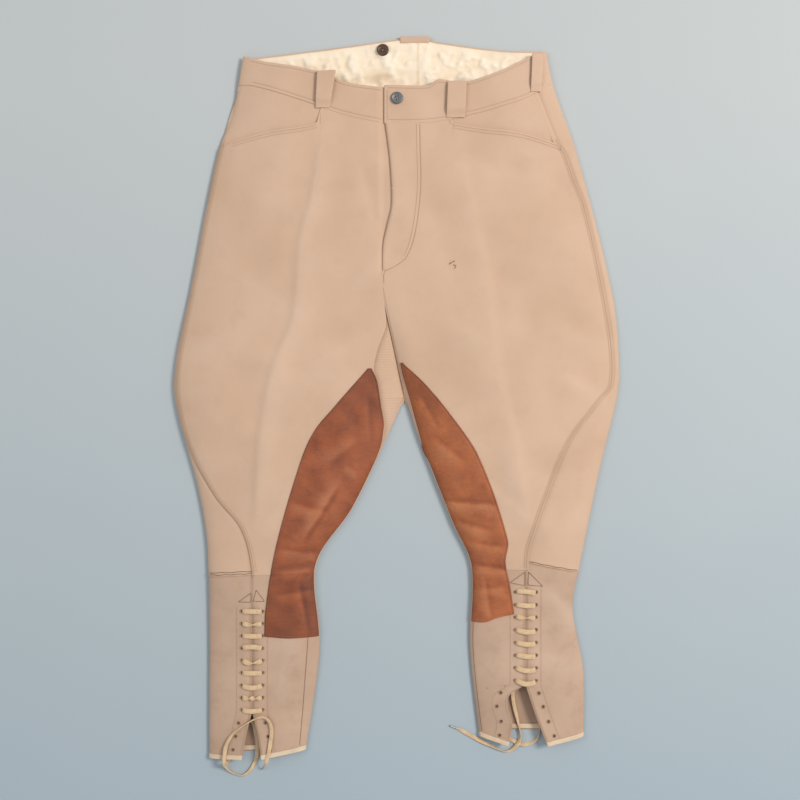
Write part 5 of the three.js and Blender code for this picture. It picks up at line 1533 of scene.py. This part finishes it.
inseam = {"right": smoothLine([(-500, -138), (-440, -132.5), (-400, -129.5), (-338, -125), (-260, -121)]),
          "left": shift(innerEdge["left"], 4)}
arrowHeads = {"right": [[(-222, -285), (-204, -272), (-204, -285), (-222, -285)], [(-201, -284), (-197, -268), (-185, -284), (-201, -284)]],
              "left": [[(158, -258), (179, -243), (179, -262), (158, -258)], [(184, -243), (204, -263), (183, -261), (184, -243)]]}
stitchSets = []
for side in sides:
    out = outward[side]
    knee = kneeY[side]
    cloth = lambda x, y: frontCloth(side, x, y)
    down = np.linspace(knee + 3, float(pocketMouth[side](out * 235)) - 2, 500)
    legRows = [sew(sewnLine(cloth, shift(sideSeam[side], -out * 1.6), down)), sew(sewnLine(cloth, shift(sideSeam[side], -out * 4.6), down))]
    strip = lambda x, y: stripCloth(side, x, y)
    kneeX = np.linspace(float(sideSeam[side](knee)) + out * 2, float(outerEdge[side](knee)) - out * 3, 60)
    kneeRows = [sew(lineOn(strip, kneeX, kneeRim[side](kneeX) + 1.6 + 0.4 * np.sin(kneeX / 3), 0.3), 2.6, 2.2, 0.5)]
    if side == "right":
        kneeRows.append(sew(lineOn(strip, kneeX, kneeRim[side](kneeX) + 4.6 + 0.4 * np.sin(kneeX / 4), 0.3), 2.6, 2.2, 0.5))
    darkRows = []
    leather = lambda x, y: leatherHeight(side, x, y)
    yUp = np.linspace(knee + 3, strapTop[side] - 5, 400)
    yOut = yUp
    darkRows.append(whip(side, np.arange(knee + 2, strapTop[side] - 2, 2.6)))
    darkRows.append(sew(sewnLine(leather, lambda y: strapInnerLine(side, y) + out * 2.4, yOut, 0.15), 3.2, 2.1, 0.38))
    stitchSets.append((side + "_thigh_stitching", legRows, tanThread, "breeches_cloth", (side, "hip")))
    stitchSets.append((side + "_strapping_stitching", darkRows, russetThread, "leather", (side, "hip")))
    stitchSets.append((side + "_knee_stitching", kneeRows, darkThreadAndShade, "breeches_cloth", (side, "hip")))
    yLow = np.linspace(float(strapBottom[side](out * 150)) + 4, knee - 3, 90)
    lowRows = [whip(side, np.arange(float(strapBottom[side](out * 150)) + 3, knee - 2, 2.6)),
               sew(sewnLine(leather, lambda y: strapInnerLine(side, y) + out * 2.4, yLow, 0.15), 3.2, 2.1, 0.38)]
    xLow = np.linspace(float(strapOuter[side](-310)) - out * 4, float(innerEdge[side](-310)) + out * 10, 60)
    lowRows.append(sew(lineOn(leather, xLow, strapBottom[side](xLow) + 2.6, 0.15), 3.2, 2.1, 0.38))
    stitchSets.append((side + "_lower_strapping_stitching", lowRows, russetThread, "leather", (side, "knee")))
    cut = slit[side]
    calfRows = []
    for which, sign in (("outer", out), ("inner", -out)):
        high = lambda x, y: calfHeight(side, which, x, y)
        yFacing = np.linspace(float(cut[which + "Hem"](lip(side, which, np.array(-480.0)))) + 8, cut["laced"][0] + 6, 260)
        calfRows.append(sew(lineOn(high, lip(side, which, yFacing) + sign * 21, yFacing), 2.8, 1.9, 0.3))
        calfRows.append(sew(lineOn(high, lip(side, which, yFacing) + sign * 2.4, yFacing), 2.8, 1.9, 0.3))
    yIn = np.linspace(float(cut["innerHem"](innerEdge[side](-480))) + 7, knee - 12, 240)
    high = lambda x, y: calfHeight(side, "inner", x, y)
    arrowRows = [sew(lineOn(high, inseam[side](yIn), yIn), 2.4, 2.1, 0.36)]
    for corners in arrowHeads[side]:
        line = evenSteps(np.array(corners, float), 1.0)
        arrowRows.append(sew(lineOn(high, line[:, 0], line[:, 1], 0.3), 2.3, 2.0, 0.38))
    stitchSets.append((side + "_calf_dark_stitching", arrowRows, darkThreadAndShade, "calf_cloth", (side, "knee")))
    stitchSets.append((side + "_calf_stitching", calfRows, tanThread, "calf_cloth", (side, "knee")))

seatRows = []
for side in sides:
    out = outward[side]
    cloth = lambda x, y: frontCloth(side, x, y)
    xs = np.linspace(pocketSeam[side] + out * 3, out * 232, 220)
    for below in (2.2, 6.2):
        seatRows.append(sew(lineOn(cloth, xs, pocketMouth[side](xs) - below)))
    ys = np.linspace(float(pocketMouth[side](pocketSeam[side] + out * 3)), float(bandSeam[side](pocketSeam[side])) - 2, 16)
    seatRows.append(sew(lineOn(cloth, np.full(16, pocketSeam[side] - out * 2.0), ys)))
    xs = np.linspace(22 if side == "left" else -22, out * 205, 260) if side == "right" else np.linspace(-12, 205, 260)
    surface = lambda x, y: bandSurface(side, x, y)
    seatRows.append(sew(lineOn(surface, xs, bandSeam[side](xs) + 2.2)))
    seatRows.append(sew(lineOn(surface, xs, bandTop[side](xs) - 3.6)))
ends = np.linspace(float(bandSeam["left"](-14)) + 3, float(bandTop["left"](-14)) - 4, 30)
seatRows.append(sew(lineOn(lambda x, y: bandSurface("left", x, y), np.full(30, -13.6), ends)))
ys = np.linspace(160, 384, 320)
seatRows.append(sew(lineOn(lambda x, y: frontCloth("left", x, y) + 0.4, flySeam(ys) + 3.6, ys), 3.0, 2.1, 0.34))
ys = np.linspace(20, 156, 120)
seatRows.append(sew(lineOn(lambda x, y: frontCloth("left", x, y), centreFront(ys) + 2.6, ys), 3.0, 2.1, 0.3))
facing = lambda x, y: frontHeight("left", x, y) - 2.0
ys = np.linspace(356, 424, 60)
for off in (-3.2, -7.4):
    seatRows.append(sew(lineOn(facing, sideSeam["left"](ys) + off, ys, 0.3)))
stitchSets.append(("seat_stitching", seatRows, tanThread, "breeches_cloth", None))
flapRows = [sew(lineOn(flyHeight, flySeam(ys) - 1.2, ys, 0.2), 3.0, 2.1, 0.3) for ys in [np.linspace(200, 384, 240)]]
stitchSets.append(("fly_flap_stitching", flapRows, tanThread, "breeches_cloth", "fly"))
paleRows = [sew(np.array([(-10, 291, float(flyHeight(np.array(-7.0), np.array(291.0))) + 0.2),
                          (-3, 293, float(flyHeight(np.array(-3.0), np.array(293.0))) + 0.5)]), 99, 6.5, 0.3),
            sew(np.array([(-10, 254, float(flyHeight(np.array(-7.0), np.array(254.0))) + 0.2),
                          (-4, 252.5, float(flyHeight(np.array(-4.0), np.array(252.5))) + 0.5)]), 99, 5.5, 0.3)]
stitchSets.append(("fly_flap_loose_thread", paleRows, paleThread, "cotton_lining", "fly"))
for name, rows, thread, slotName, motion in stitchSets:
    piece = putStitches(name, [row for row in rows if len(row)], thread)
    if motion is None:
        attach(piece, "seat")
    elif motion == "fly":
        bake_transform(piece)
    else:
        moveWithLeg(piece, *motion)
print("sewing ready")

# the floor: pale grey, turning a little bluer and darker towards the hems
floorLooks = {"near": (0.385, 0.445, 0.475), "far": (0.52, 0.53, 0.515), "half": 16}


def makeFloor():
    half = floorLooks["half"] / mm
    x, y = np.meshgrid(np.linspace(-half, half, 9), np.linspace(-half, half, 9))
    grid = np.stack([x, y, 0 * x - 0.02], axis=2)
    material, tree, shader = startMaterial("floor_paint", 0.85, 0.1)
    place = addNode(tree, "TexCoord").outputs["Object"]
    parts = addNode(tree, "SeparateXYZ", None, {0: place})
    grain = addNode(tree, "TexNoise", None, {"Vector": place, "Scale": 3.0, "Detail": 3.0})
    along = mathNode(tree, "MULTIPLY_ADD", grain.outputs["Fac"], 0.25, parts.outputs[1])
    colour = mixColour(tree, rampNode(tree, along, -0.55, 0.55), floorLooks["near"], floorLooks["far"])
    tree.links.new(colour, shader.inputs["Base Color"])
    floor = putMesh("floor", grid.reshape(-1, 3), gridFaces(9, 9), grid.reshape(-1, 3)[:, :2], material)


makeFloor()
print("whole breeches ready")
